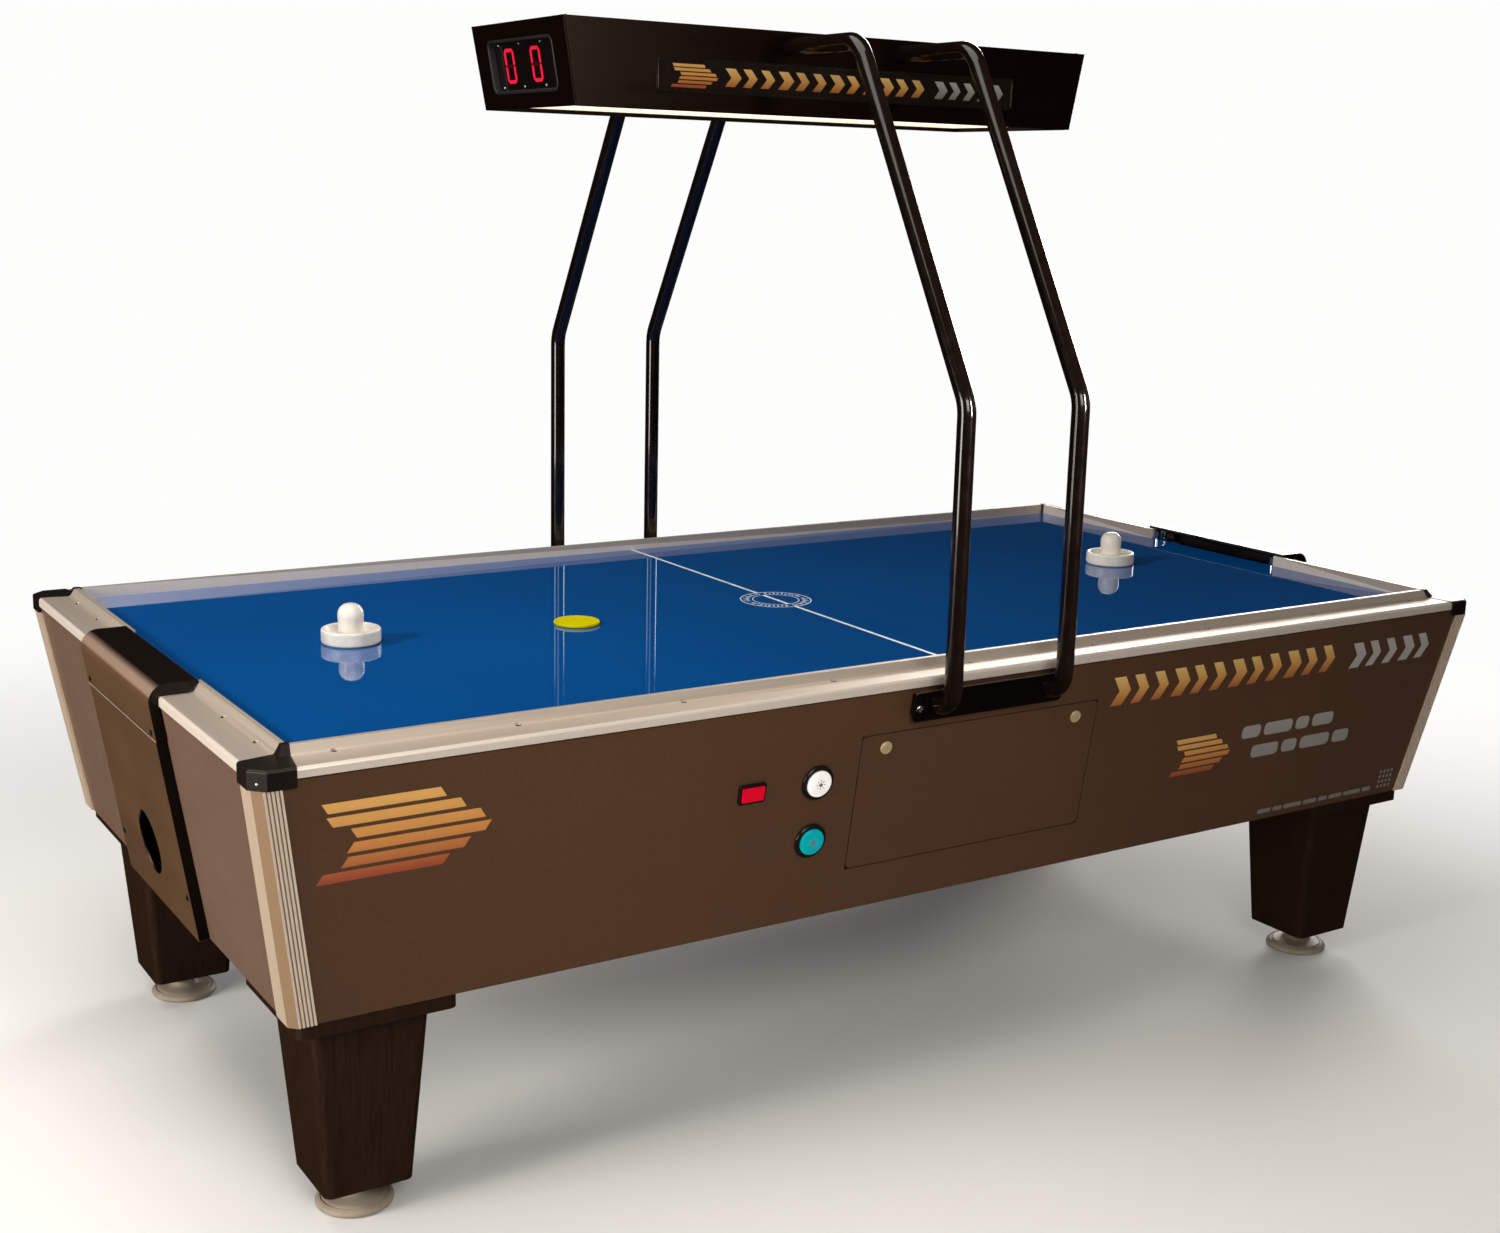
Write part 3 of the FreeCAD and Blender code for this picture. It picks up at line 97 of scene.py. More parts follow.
def make_floor():
    """A wide pale disc under the table. Far out it glows as pale as the wall, so it has no horizon."""
    mesh = bpy.data.meshes.new("floor")
    shape = bmesh.new()
    bmesh.ops.create_circle(shape, cap_ends=True, segments=96, radius=60)
    shape.to_mesh(mesh)
    shape.free()
    floor = bpy.data.objects.new("floor", mesh)
    bpy.context.scene.collection.objects.link(floor)
    look = bpy.data.materials.new("floor_paint")
    look.use_nodes = True
    tree = look.node_tree
    paint = tree.nodes["Principled BSDF"]
    paint.inputs["Base Color"].default_value = (0.90, 0.895, 0.89, 1)
    paint.inputs["Roughness"].default_value = 0.9
    paint.inputs["Specular IOR Level"].default_value = 0.1
    distance = add_node(tree, "VectorMath", {0: add_node(tree, "TexCoord").outputs["Object"]})
    distance.operation = "LENGTH"
    fade = add_node(tree, "MapRange", {"Value": distance.outputs["Value"], "From Min": 0.9, "From Max": 3.8})
    fade.interpolation_type = "SMOOTHSTEP"
    path = add_node(tree, "LightPath")
    seen = add_node(tree, "Math", {0: fade.outputs[0], 1: path.outputs["Is Camera Ray"]})
    seen.operation = "MULTIPLY"
    glow = add_node(tree, "Emission", {"Color": PALE})
    mix = add_node(tree, "MixShader", {0: seen.outputs[0], 1: paint.outputs[0], 2: glow.outputs[0]})
    tree.links.new(mix.outputs[0], tree.nodes["Material Output"].inputs["Surface"])
    mesh.materials.append(look)
    floor.visible_glossy = False


def receivers(name, pieces, state):
    """A light-linking list: with INCLUDE a lamp lights only these pieces, with EXCLUDE all the others."""
    linked = bpy.data.collections.new(name)
    for piece in pieces:
        linked.objects.link(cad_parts[piece])
    for entry in linked.collection_objects:
        entry.light_linking.link_state = state
    return linked


def soft_box(name, place, target, size, power, colour, spread, lit):
    """A rectangular area light turned to a target. The camera doesn't see it, mirrors do."""
    data = bpy.data.lights.new(name, "AREA")
    data.spread = math.radians(spread)
    data.shape, data.size, data.size_y = "RECTANGLE", size[0], size[1]
    data.energy, data.color = power, colour
    lamp = bpy.data.objects.new(name, data)
    lamp.location = place
    lamp.rotation_euler = (Vector(target) - Vector(place)).to_track_quat("-Z", "Y").to_euler()
    lamp.visible_camera = False
    lamp.light_linking.receiver_collection = lit
    bpy.context.scene.collection.objects.link(lamp)
    return lamp


def make_light():
    """Soft studio light: a pale wall that mirrors see as dark, and large soft boxes round the table."""
    world = bpy.data.worlds.new("studio")
    bpy.context.scene.world = world
    world.use_nodes = True
    tree = world.node_tree
    tree.nodes.clear()
    path = add_node(tree, "LightPath").outputs
    wall = add_node(tree, "Background", {"Color": (1.0, 0.965, 0.92, 1), "Strength": 0.14})
    dark = add_node(tree, "Background", {"Color": (1.0, 0.90, 0.80, 1), "Strength": 0.012})
    seen = add_node(tree, "Background", {"Color": PALE})
    mirror = add_node(tree, "MixShader", {0: path["Is Glossy Ray"], 1: wall.outputs[0], 2: dark.outputs[0]})
    eye = add_node(tree, "MixShader", {0: path["Is Camera Ray"], 1: mirror.outputs[0], 2: seen.outputs[0]})
    add_node(tree, "OutputWorld", {0: eye.outputs[0]})
    warm, tan = (1.0, 0.95, 0.885), (1, 0.74, 0.52)
    # Side lamps leave out the playing surface, which would mirror them. It has two lamps of its own.
    others = receivers("all_but_the_field", ["playfield"], "EXCLUDE")
    field = receivers("the_field", ["playfield"], "INCLUDE")
    arms = receivers("front_arms", ["front_left_light_arm", "front_right_light_arm"], "INCLUDE")
    canopy = receivers("canopy_boards", ["canopy_long_panels", "canopy_end_panels"], "INCLUDE")
    soft_box("key", (-1.1, -2.9, 1.9), (-0.65, -0.6, 0.55), (1.3, 1.0), 9.5, warm, 80, others)
    soft_box("overhead", (-1.4, -0.2, 3.5), (-0.3, 0, 0.7), (2.8, 2.2), 64, warm, 180, others)
    soft_box("left", (-4.2, -0.6, 1.2), (-1.2, 0, 0.5), (1.4, 1.9), 120, warm, 180, others)
    soft_box("strip", (1.1, -3.4, 1.9), (-0.1, -0.5, 1.5), (0.2, 1.3), 50, warm, 80, arms)
    soft_box("rail_glint", (4.3, 2.1, 1.6), (1.0, -0.6, 0.77), (2.0, 1.1), 85, warm, 180, others)
    soft_box("right", (4.3, -1.8, 2.2), (1.0, 0, 0.8), (1.0, 2.0), 4, warm, 180, others)
    soft_box("back", (3.8, 3.4, 3.2), (0.4, 0, 0.7), (1.2, 1.0), 60, (1, 1, 1), 180, others)
    soft_box("canopy_sheen", (0.3, -2.9, 1.85), (-0.5, -0.17, 1.73), (0.4, 0.6), 4.4, tan, 60, canopy)
    above = soft_box("field_overhead", (-1.4, -0.2, 3.5), (-0.3, 0, 0.7), (2.8, 2.2), 64, warm, 180, field)
    beside = soft_box("field_left", (-6.5, 0.1, 3.9), (0, 0, 0.76), (0.8, 0.8), 350, warm, 180, field)
    for lamp in (above, beside):
        lamp.visible_glossy = False


# ---- procedural materials

class Look:
    """A procedural material: a Principled shader and the nodes that feed it. Keywords name its sockets."""

    def __init__(self, name, roughness, **values):
        self.material = bpy.data.materials.new(name)
        self.material.use_nodes = True
        self.tree = self.material.node_tree
        self.shader = self.tree.nodes["Principled BSDF"]
        for key, value in {"Roughness": roughness, **values}.items():
            self.shader.inputs[key.replace("_", " ")].default_value = value
        places = self.node("TexCoord").outputs
        self.places, self.share, self.facing = places["Object"], places["Generated"], places["Normal"]

    def node(self, kind, inputs=None):
        return add_node(self.tree, kind, inputs)

    def feed(self, socket, output):
        self.tree.links.new(output, self.shader.inputs[socket])

    def math(self, operation, *sources):
        node = self.node("Math", dict(enumerate(sources)))
        node.operation = operation
        return node.outputs[0]

    def axis(self, source, letter):
        return self.node("SeparateXYZ", {0: source}).outputs[letter]

    def noise(self, scale, detail=2.0, stretch=(1, 1, 1), warp=0.0):
        """Noise of about that many cells to the metre, drawn out along the axes where stretch is small."""
        mapping = self.node("Mapping", {"Scale": stretch, "Vector": self.places})
        inputs = {"Scale": scale, "Detail": detail, "Distortion": warp, "Vector": mapping.outputs[0]}
        return self.node("TexNoise", inputs).outputs["Fac"]

    def cells(self, scale):
        return self.node("TexVoronoi", {"Scale": scale, "Vector": self.places}).outputs["Distance"]

    def span(self, source, low, high, near=0.3, far=0.7):
        """Numbers from near to far turned into numbers from low to high."""
        inputs = {"Value": source, "From Min": near, "From Max": far, "To Min": low, "To Max": high}
        return self.node("MapRange", inputs).outputs[0]

    def ramp(self, source, *stops):
        """Numbers turned into a colour, between stops of (number, colour)."""
        node = self.node("ValToRGB", {0: source})
        elements = node.color_ramp.elements
        while len(elements) < len(stops):
            elements.new(0.5)
        for element, (place, colour) in zip(elements, stops):
            element.position, element.color = place, (*colour, 1)
        return node.outputs["Color"]

    def blend(self, share, first, second, kind="MIX"):
        """Two colours blended by a share of the second."""
        colours = [(*tone, 1) if isinstance(tone, tuple) else tone for tone in (first, second)]
        node = self.node("Mix", {0: share, 6: colours[0], 7: colours[1]})
        node.data_type, node.blend_type = "RGBA", kind
        return node.outputs[2]

    def darken(self, share, tone, source, dark, near=0.3, far=0.7):
        """Multiply a tone by a grey that goes from dark to white as the source goes from near to far."""
        return self.blend(share, tone, self.ramp(source, (near, dark), (far, (1, 1, 1))), "MULTIPLY")

    def made(self, colour, roughness=None, bump=None):
        """Feed the shader, and give the material. A bump is (source, strength, depth in millimetres)."""
        self.feed("Base Color", colour)
        if roughness is not None:
            self.feed("Roughness", roughness)
        if bump is not None:
            inputs = {"Height": bump[0], "Strength": bump[1], "Distance": bump[2] * MM}
            self.feed("Normal", self.node("Bump", inputs).outputs[0])
        return self.material


def shade(colour, factor):
    return tuple(part * factor for part in colour)


def laminate(name, colour, roughness=0.36, gloss=0.28):
    """Pressed laminate: fine dark flecks, a slow cloud of tone and a faint pebbled face."""
    look = Look(name, roughness, Specular_IOR_Level=gloss)
    fleck, cloud, smear = look.noise(900, 3), look.noise(2.2, 4), look.noise(14, 3, (0.25, 0.25, 1))
    tone = look.ramp(fleck, (0.35, shade(colour, 0.80)), (0.50, colour), (0.68, shade(colour, 1.28)))
    return look.made(look.darken(0.45, tone, cloud, (0.80, 0.80, 0.80)),
                     look.span(smear, roughness - 0.05, roughness + 0.07), (fleck, 0.30, 0.12))


def aluminium(name, stretch, colour):
    """Satin anodised aluminium, drawn and brushed along one direction."""
    look = Look(name, 0.42, Metallic=0.55, Specular_IOR_Level=0.3)
    streak, cloud = look.noise(1, 3, stretch), look.noise(3, 3)
    tone = look.ramp(streak, (0.30, shade(colour, 0.94)), (0.55, colour), (0.75, shade(colour, 1.04)))
    return look.made(look.darken(0.35, tone, cloud, (0.92, 0.91, 0.90), 0.35, 0.65),
                     look.span(streak, 0.38, 0.48), (streak, 0.03, 0.04))


def trim_metal(name, colour):
    """Champagne anodised aluminium, even in tone, with a fine drawn grain."""
    look = Look(name, 0.36, Metallic=0.45, Specular_IOR_Level=0.3)
    grain = look.noise(1, 2, (900, 900, 12))
    return look.made(look.ramp(grain, (0.3, shade(colour, 0.975)), (0.7, shade(colour, 1.025))),
                     look.span(grain, 0.33, 0.39))


def play_blue():
    """Blue laminate under a glossy clear coat, with its inch grid of air holes."""
    look = Look("play_blue", 0.5, Specular_IOR_Level=0.0, Coat_Weight=1.0, Coat_Roughness=0.012,
                Coat_IOR=1.48)
    pitch, radius = 25.4 * MM, 0.65 * MM
    squares = []
    for letter in "XY":
        cell = look.math("FRACT", look.math("MULTIPLY", look.axis(look.places, letter), 1 / pitch))
        off = look.math("MULTIPLY", look.math("SUBTRACT", cell, 0.5), pitch)
        squares.append(look.math("MULTIPLY", off, off))
    hole = look.math("LESS_THAN", look.math("ADD", *squares), radius * radius)
    cloud = look.noise(1.6, 3)
    blue = look.ramp(cloud, (0.3, (0.0004, 0.074, 0.29)), (0.7, (0.0005, 0.083, 0.32)))
    return look.made(look.blend(look.math("MULTIPLY", hole, 0.75), blue, (0.0, 0.008, 0.03)),
                     look.span(look.noise(3.5, 5), 0.42, 0.55))


def moulded(name, colour, roughness=0.38, grain=1400, depth=0.05):
    """Moulded plastic with a fine pebble."""
    look = Look(name, roughness, Specular_IOR_Level=0.35)
    pebble, cloud = look.noise(grain, 2), look.noise(25, 3)
    return look.made(look.ramp(cloud, (0.3, shade(colour, 0.82)), (0.7, shade(colour, 1.15))),
                     look.span(pebble, roughness - 0.07, roughness + 0.07), (pebble, 0.35, depth))


def enamel(name, colour, roughness=0.2, coat=1.0):
    """Glossy baked paint on steel, with a trace of orange peel and dust."""
    look = Look(name, roughness, Specular_IOR_Level=0.4 * coat, Coat_Weight=coat, Coat_Roughness=0.06)
    peel, dust = look.noise(120, 1), look.noise(40, 4)
    return look.made(look.ramp(dust, (0.35, colour), (0.75, shade(colour, 1.4))),
                     look.span(dust, roughness - 0.03, roughness + 0.05), (peel, 0.02, 0.06))


def bronze_sheet_with_painted_light():
    """Dark bronze sheet, brown on its broad face. Painted highlight where it curves up, painted shade near
    black on top and cheeks.
    """
    look = Look("bronze_sheet_with_painted_light", 0.26, Metallic=0.3, Specular_IOR_Level=0.25)
    cloud, sweep = look.noise(4, 3), look.noise(2.2, 2, (1, 0.4, 2.2))
    tone = look.ramp(cloud, (0.3, (0.140, 0.074, 0.036)), (0.7, (0.158, 0.085, 0.043)))
    tone = look.darken(0.6, tone, sweep, (0.62, 0.62, 0.62), 0.35, 0.6)
    # Painted light by which way a face points: paler as it tilts up (painted highlight), near black where it
    # faces up (painted shade).
    rise = look.math("ABSOLUTE", look.axis(look.facing, "Z"))
    tone = look.blend(look.span(rise, 0.0, 1.0, 0.22, 0.42), tone, (0.34, 0.235, 0.175))
    tone = look.blend(look.span(rise, 0.0, 1.0, 0.72, 0.94), tone, (0.0090, 0.0045, 0.0032))
    # Painted shade: near black on the cheeks, the faces that point along Y.
    cheek = look.span(look.math("ABSOLUTE", look.axis(look.facing, "Y")), 0.0, 1.0, 0.5, 0.9)
    return look.made(look.blend(cheek, tone, (0.0050, 0.0026, 0.0020)), look.span(cloud, 0.30, 0.36))


def leg_vinyl():
    """Black-brown leg finish with a faint upright grain."""
    look = Look("leg_vinyl", 0.42, Specular_IOR_Level=0.22)
    grain, cloud = look.noise(1, 5, (260, 260, 9), 0.4), look.noise(6, 3)
    tone = look.ramp(grain, (0.3, (0.0180, 0.0072, 0.0030)), (0.6, (0.027, 0.0110, 0.0048)),
                     (0.8, (0.038, 0.0160, 0.0072)))
    pores = look.noise(1, 2, (900, 900, 60))
    return look.made(look.darken(0.5, tone, cloud, (0.7, 0.68, 0.66)),
                     look.span(grain, 0.34, 0.50), (pores, 0.25, 0.10))


def metal(name, colour, roughness=0.25, scale=180, metallic=1.0):
    """Turned or plated metal with fine marks."""
    look = Look(name, roughness, Metallic=metallic)
    mark, cloud = look.noise(scale, 4), look.noise(30, 2)
    return look.made(look.ramp(cloud, (0.3, shade(colour, 0.78)), (0.7, colour)),
                     look.span(mark, roughness - 0.07, roughness + 0.09), (mark, 0.05, 0.05))


def glowing(name, colour, light, strength, roughness=0.3, coat=0.4):
    """Plastic that glows, a little uneven: lit from behind in the buttons, digits and lamps; on the puck a
    faint painted glow.
    """
    look = Look(name, roughness, Emission_Strength=strength, Coat_Weight=coat,
                Specular_IOR_Level=0.5 * coat)
    cloud = look.noise(60, 2)
    look.feed("Emission Color", look.ramp(cloud, (0.2, shade(light, 0.75)), (0.8, light)))
    return look.made(look.ramp(cloud, (0.3, shade(colour, 0.85)), (0.7, colour)),
                     bump=(look.noise(1200, 1), 0.08, 0.04))


def foil(name, top, middle, bottom):
    """Printed foil that turns from one tone to another down the piece."""
    look = Look(name, 0.34, Metallic=0.15, Coat_Weight=0.5, Coat_Roughness=0.12)
    height = look.axis(look.share, "Z")
    tone = look.ramp(height, (0.0, bottom), (0.5, middle), (1.0, top))
    grain = look.noise(1500, 2)
    return look.made(look.darken(0.25, tone, grain, (0.75, 0.75, 0.75)), bump=(grain, 0.08, 0.03))


def board(name, colour):
    """Raw particle board."""
    look = Look(name, 0.8)
    chip, fine = look.cells(240), look.noise(600, 3)
    tone = look.ramp(chip, (0.1, shade(colour, 1.15)), (0.6, shade(colour, 0.7)))
    return look.made(look.darken(0.5, tone, fine, (0.7, 0.68, 0.64)), bump=(chip, 0.3, 0.3))


def diffuser_look():
    """Prismatic white sheet, lit from above by the white lamp and brightest under it."""
    look = Look("diffuser_sheet", 0.35, Emission_Strength=1.5)
    prism = look.cells(170)
    lamp_y, fall = -0.06, 3.2
    away = look.math("ABSOLUTE", look.math("ADD", look.axis(look.places, "Y"), -lamp_y))
    glow = look.math("SUBTRACT", 1.0, look.math("MULTIPLY", away, fall))
    look.feed("Emission Color", look.ramp(glow, (0.2, (0.62, 0.45, 0.28)), (0.9, (1.0, 0.86, 0.62))))
    return look.made(look.ramp(prism, (0.0, (0.90, 0.87, 0.80)), (0.7, (0.72, 0.69, 0.62))),
                     bump=(prism, 0.6, 0.5))


BROWN = (0.088, 0.042, 0.0205)
END_BROWN = (0.148, 0.090, 0.062)
BLACK = (0.0034, 0.0017, 0.0013)
SILVER = (0.63, 0.54, 0.455)
LOOKS = {
    "panel": laminate("panel_laminate", BROWN),
    "end_panel": laminate("end_laminate", END_BROWN, 0.40),
    "canopy": laminate("canopy_laminate", (0.0036, 0.0015, 0.0009), 0.28, 0.05),
    "rail_x": aluminium("rail_brushed_x", (3, 700, 700), SILVER),
    "rail_y": aluminium("rail_brushed_y", (700, 3, 700), SILVER),
    # Lighter metal for the rails' rounds, lips and inner faces: a painted highlight.
    "rail_edge": trim_metal("rail_edge_painted_highlight", (0.90, 0.80, 0.70)),
    # Near black in the rails' screw sinks: painted shade.
    "sink": moulded("screw_sink", (0.012, 0.010, 0.009), 0.5),
    # The trims' end leg: a shaded copy of their champagne metal, painted light.
    "trim": trim_metal("trim_end_flat", (0.72, 0.57, 0.43)),
    # Light metal strip on the hoods' edges: a painted glint.
    "edge_glint": trim_metal("hood_edge_painted_glint", (0.80, 0.68, 0.56)),
    # Lit and shaded copies of the same metal: painted highlight on the ridges, painted shade in the grooves
    # and on the bevel.
    "ridge": trim_metal("trim_ridges_painted_highlight", (0.93, 0.80, 0.66)),
    "groove": trim_metal("trim_grooves_painted_shade", (0.36, 0.25, 0.165)),
    "bevel": trim_metal("trim_bevel_painted_shade", (0.42, 0.27, 0.165)),
    "blue": play_blue(),
    "moulded": moulded("moulded_black", (0.0085, 0.0046, 0.0032), 0.40),
    "bezel": moulded("bezel_black", (0.009, 0.009, 0.009), 0.22, 900, 0.02),
    "enamel": enamel("black_enamel", BLACK, 0.18, 0.55),
    "bracket": enamel("bracket_paint", (0.0030, 0.0013, 0.0011), 0.30, 0.4),
    # Sheet of the goal hoods and boxes, with painted highlight and painted shade by which way its faces
    # point.
    "sheet": bronze_sheet_with_painted_light(),
    "inner": moulded("inner_black", (0.010, 0.009, 0.009), 0.5, 700, 0.08),
    "leg": leg_vinyl(),
    "pad": moulded("foot_plastic", (0.34, 0.285, 0.22), 0.48, 500, 0.12),
    "zinc": metal("zinc_plate", (0.62, 0.61, 0.58), 0.32),
    "chrome": metal("chrome", (0.86, 0.86, 0.85), 0.10),
    "black_screw": metal("black_screw", (0.020, 0.017, 0.015), 0.42, 700),
    "bright_screw": metal("bright_screw", (0.75, 0.73, 0.69), 0.24, 700),
    "brass": metal("brass", (0.86, 0.66, 0.40), 0.34, 400, 0.5),
    "white": moulded("mallet_white", (0.77, 0.735, 0.67), 0.27, 900, 0.03),
    "felt": moulded("mallet_felt", (0.70, 0.69, 0.66), 0.95, 1800, 0.4),
    # The puck's faint glow is painted light.
    "yellow": glowing("puck_yellow", (0.54, 0.48, 0.002), (0.62, 0.60, 0.002), 0.06, 0.5, 0.0),
    "ink": moulded("inlay_white", (0.80, 0.82, 0.84), 0.35, 1200, 0.01),
    "grey_ink": moulded("icon_grey", (0.16, 0.16, 0.17), 0.5, 1200, 0.01),
    "button_white": glowing("button_white", (0.80, 0.77, 0.76), (1.0, 0.95, 0.95), 0.32, 0.25, 0.2),
    "button_teal": glowing("button_teal", (0.001, 0.34, 0.39), (0.0, 0.42, 0.48), 0.22, 0.22, 0.2),
    "button_red": glowing("button_red", (0.50, 0.002, 0.014), (0.9, 0.002, 0.03), 0.30, 0.16, 0.2),
    "acrylic": enamel("display_filter", (0.0030, 0.0012, 0.0014), 0.10),
    "lit": glowing("digit_lit", (0.35, 0.004, 0.02), (1.0, 0.010, 0.055), 0.75, 0.35),
    "unlit": glowing("digit_unlit", (0.030, 0.002, 0.004), (0.2, 0.0, 0.01), 0.04, 0.35),
    "gold": foil("gold_foil", (0.86, 0.57, 0.20), (0.72, 0.36, 0.09), (0.42, 0.13, 0.035)),
    "copper": foil("copper_foil", (0.83, 0.46, 0.13), (0.70, 0.30, 0.07), (0.36, 0.065, 0.028)),
    "silver": foil("silver_foil", (0.52, 0.50, 0.47), (0.36, 0.34, 0.31), (0.24, 0.22, 0.20)),
    "sign": moulded("sign_plate", (0.0120, 0.0070, 0.0048), 0.30, 1100, 0.02),
    "sign_edge": metal("sign_edge", (0.20, 0.155, 0.12), 0.3, 500),
    "board": board("particle_board", (0.42, 0.30, 0.18)),
    "diffuser": diffuser_look(),
    "lamp": glowing("lamp_white", (0.8, 0.8, 0.78), (1.0, 0.93, 0.80), 4.0),
    "black_lamp": glowing("lamp_violet", (0.045, 0.020, 0.12), (0.15, 0.05, 0.6), 0.15, 0.15),
    "white_part": moulded("lamp_holder_white", (0.72, 0.71, 0.68), 0.4),
}


# ---- materials on the CAD nodes

def more_slots(node, *looks):
    """Add materials to a dressed CAD node, and give back their slot numbers."""
    materials = node.data.materials
    first = len(materials)
    for look in looks:
        materials.append(LOOKS[look])
    return range(first, len(materials))


DRESSED = {
    "panel": "front_panel rear_panel service_door",
    "end_panel": "left_end_panel right_end_panel",
    "rail_x": "front_rail rear_rail",
    "rail_y": "left_end_rails right_end_rails",
    "moulded": "corner_caps",
    "trim": "corner_trims",
    "blue": "playfield",
    "board": "plenum_base plenum_frame",
    "zinc": "blower_housing blower_impeller",
    "inner": "cabinet_floor blower_motor puck_chutes",
    "bezel": "power_inlet",
    "sheet": "left_goal_cover right_goal_cover left_goal_box right_goal_box",
    "chrome": "goal_posts",
    "leg": "leg_platforms front_left_leg front_right_leg rear_left_leg rear_right_leg",
    "bracket": "front_light_bracket rear_light_bracket",
    "enamel": "front_left_light_arm front_right_light_arm rear_left_light_arm rear_right_light_arm",
    "canopy": "canopy_long_panels canopy_end_panels canopy_top",
    "diffuser": "canopy_diffuser",
    "lamp": "white_lamp",
    "black_lamp": "black_lamp",
    "white_part": "lamp_holders",
    "brass": "left_door_lock right_door_lock",
}
for look_name, node_names in DRESSED.items():
    for node_name in node_names.split():
        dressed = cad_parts[node_name].data
        dressed.materials.clear()
        dressed.materials.append(LOOKS[look_name])
        for face in dressed.polygons:
            face.material_index = 0


def dress_rails():
    """The rails' round, lip and inner face get a lighter copy of their metal, a painted highlight, and their
    screw sinks are dark, painted shade.
    """
    half = Vector((-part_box("left_end_rails")[0].x, -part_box("front_rail")[0].y, 0))
    for name, axis in (("front_rail", 1), ("rear_rail", 1), ("left_end_rails", 0), ("right_end_rails", 0)):
        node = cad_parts[name]
        edge, sink = more_slots(node, "rail_edge", "sink")
        for polygon in node.data.polygons:
            middle = node.matrix_world @ polygon.center
            across, under = half[axis] - abs(middle[axis]), RAIL_TOP - middle.z
            # Painted highlight: faces under the top that point outwards take the lighter edge metal.
            if under > 0 and abs(polygon.normal[axis]) > 0.35:
                polygon.material_index = edge
            # Painted shade: the faces inside the screw sinks take a near-black material.
            elif SINK_BAND[0] < across < SINK_BAND[1] and SINK_DEPTHS[0] < under < SINK_DEPTHS[1]:
                polygon.material_index = sink


def shade_cover_insides():
    """Painted shade: the goal covers' faces that look towards the playing surface take the near-black inner
    material.
    """
    for name in ("left_goal_cover", "right_goal_cover"):
        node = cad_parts[name]
        (inner,) = more_slots(node, "inner")
        for polygon in node.data.polygons:
            middle = node.matrix_world @ polygon.center
            if abs(polygon.normal.x) > 0.3 and polygon.normal.x * middle.x < 0:
                polygon.material_index = inner


def dress_trims():
    """The corner trims' faces: plain end leg, bevel, ridges and, set back between the ridges, grooves. They
    carry lit and shaded copies of one champagne metal, painted light: lightest on the ridges, darker on the
    end leg, darkest on the bevel and in the grooves as painted shade.
    """
    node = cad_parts["corner_trims"]
    ridge, groove, bevel = more_slots(node, "ridge", "groove", "bevel")
    fronts = {sign: cabinet_face(side).inverted() for sign, side in zip((-1, 1), LONG_SIDES)}
    for polygon in node.data.polygons:
        middle, facing = node.matrix_world @ polygon.center, polygon.normal
        side = -1 if middle.y < 0 else 1
        back = TRIM_RIDGE_OUT - (fronts[side] @ middle).z / MM
        to_x, to_y = facing.x * math.copysign(1, middle.x), facing.y * side
        # Painted light: each kind of face takes a lit or shaded copy of the one metal.
        if min(to_x, to_y) > 0.45 and abs(to_x - to_y) < 0.05 and back < TRIM_BEVEL_REACH:
            polygon.material_index = bevel
        elif abs(to_x) < 0.9 and TRIM_GROOVE[0] < back < TRIM_GROOVE[1]:
            polygon.material_index = groove
        elif to_y > 0.8 and back < TRIM_GROOVE[0]:
            polygon.material_index = ridge


# ---- small mesh builders

class Piece:
    """A mesh made up from several shapes, each with a placement and a material."""

    def __init__(self, name, body="table", slot=None, bevel=None, sharp=35):
        self.name, self.body, self.slot, self.bevel, self.sharp = name, body, slot, bevel, sharp
        self.shape, self.looks = bmesh.new(), []

    def add(self, part, place, look):
        """Take in a bmesh part at a placement."""
        if look not in self.looks:
            self.looks.append(look)
        index = self.looks.index(look)
        bmesh.ops.transform(part, matrix=place, verts=part.verts)
        for face in part.faces:
            face.material_index, face.smooth = index, True
        scratch = bpy.data.meshes.new("scratch")
        part.to_mesh(scratch)
        part.free()
        self.shape.from_mesh(scratch)
        bpy.data.meshes.remove(scratch)
        return self

    def done(self, *replaced):
        """Make the object, and put it on its body in place of the CAD nodes that it replaces."""
        mesh = bpy.data.meshes.new(self.name)
        bmesh.ops.recalc_face_normals(self.shape, faces=self.shape.faces)
        self.shape.to_mesh(mesh)
        self.shape.free()
        for look in self.looks:
            mesh.materials.append(LOOKS[look])
        mesh.set_sharp_from_angle(angle=math.radians(self.sharp))
        piece = bpy.data.objects.new(self.name, mesh)
        bpy.context.scene.collection.objects.link(piece)
        if self.bevel:
            modifier = piece.modifiers.new("edges", "BEVEL")
            modifier.width, modifier.segments, modifier.limit_method = self.bevel, 2, "ANGLE"
            modifier.angle_limit = math.radians(40)
        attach(piece, self.body)
        if replaced:
            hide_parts(*replaced)


def lathe(profile, steps=64):
    """A profile of (radius, height) in millimetres turned about Z, closed where it meets the axis."""
    part = bmesh.new()
    rings = []
    for radius, height in profile:
        outline = circle(radius, steps) if radius > 1e-6 else [(0, 0)]
        rings.append([part.verts.new((x * MM, y * MM, height * MM)) for x, y in outline])
    for low, high in zip(rings, rings[1:]):
        for step in range(steps):
            follow = (step + 1) % steps
            if len(low) == 1:
                part.faces.new((low[0], high[follow], high[step]))
            elif len(high) == 1:
                part.faces.new((low[step], low[follow], high[0]))
            else:
                part.faces.new((low[step], low[follow], high[follow], high[step]))
    return part


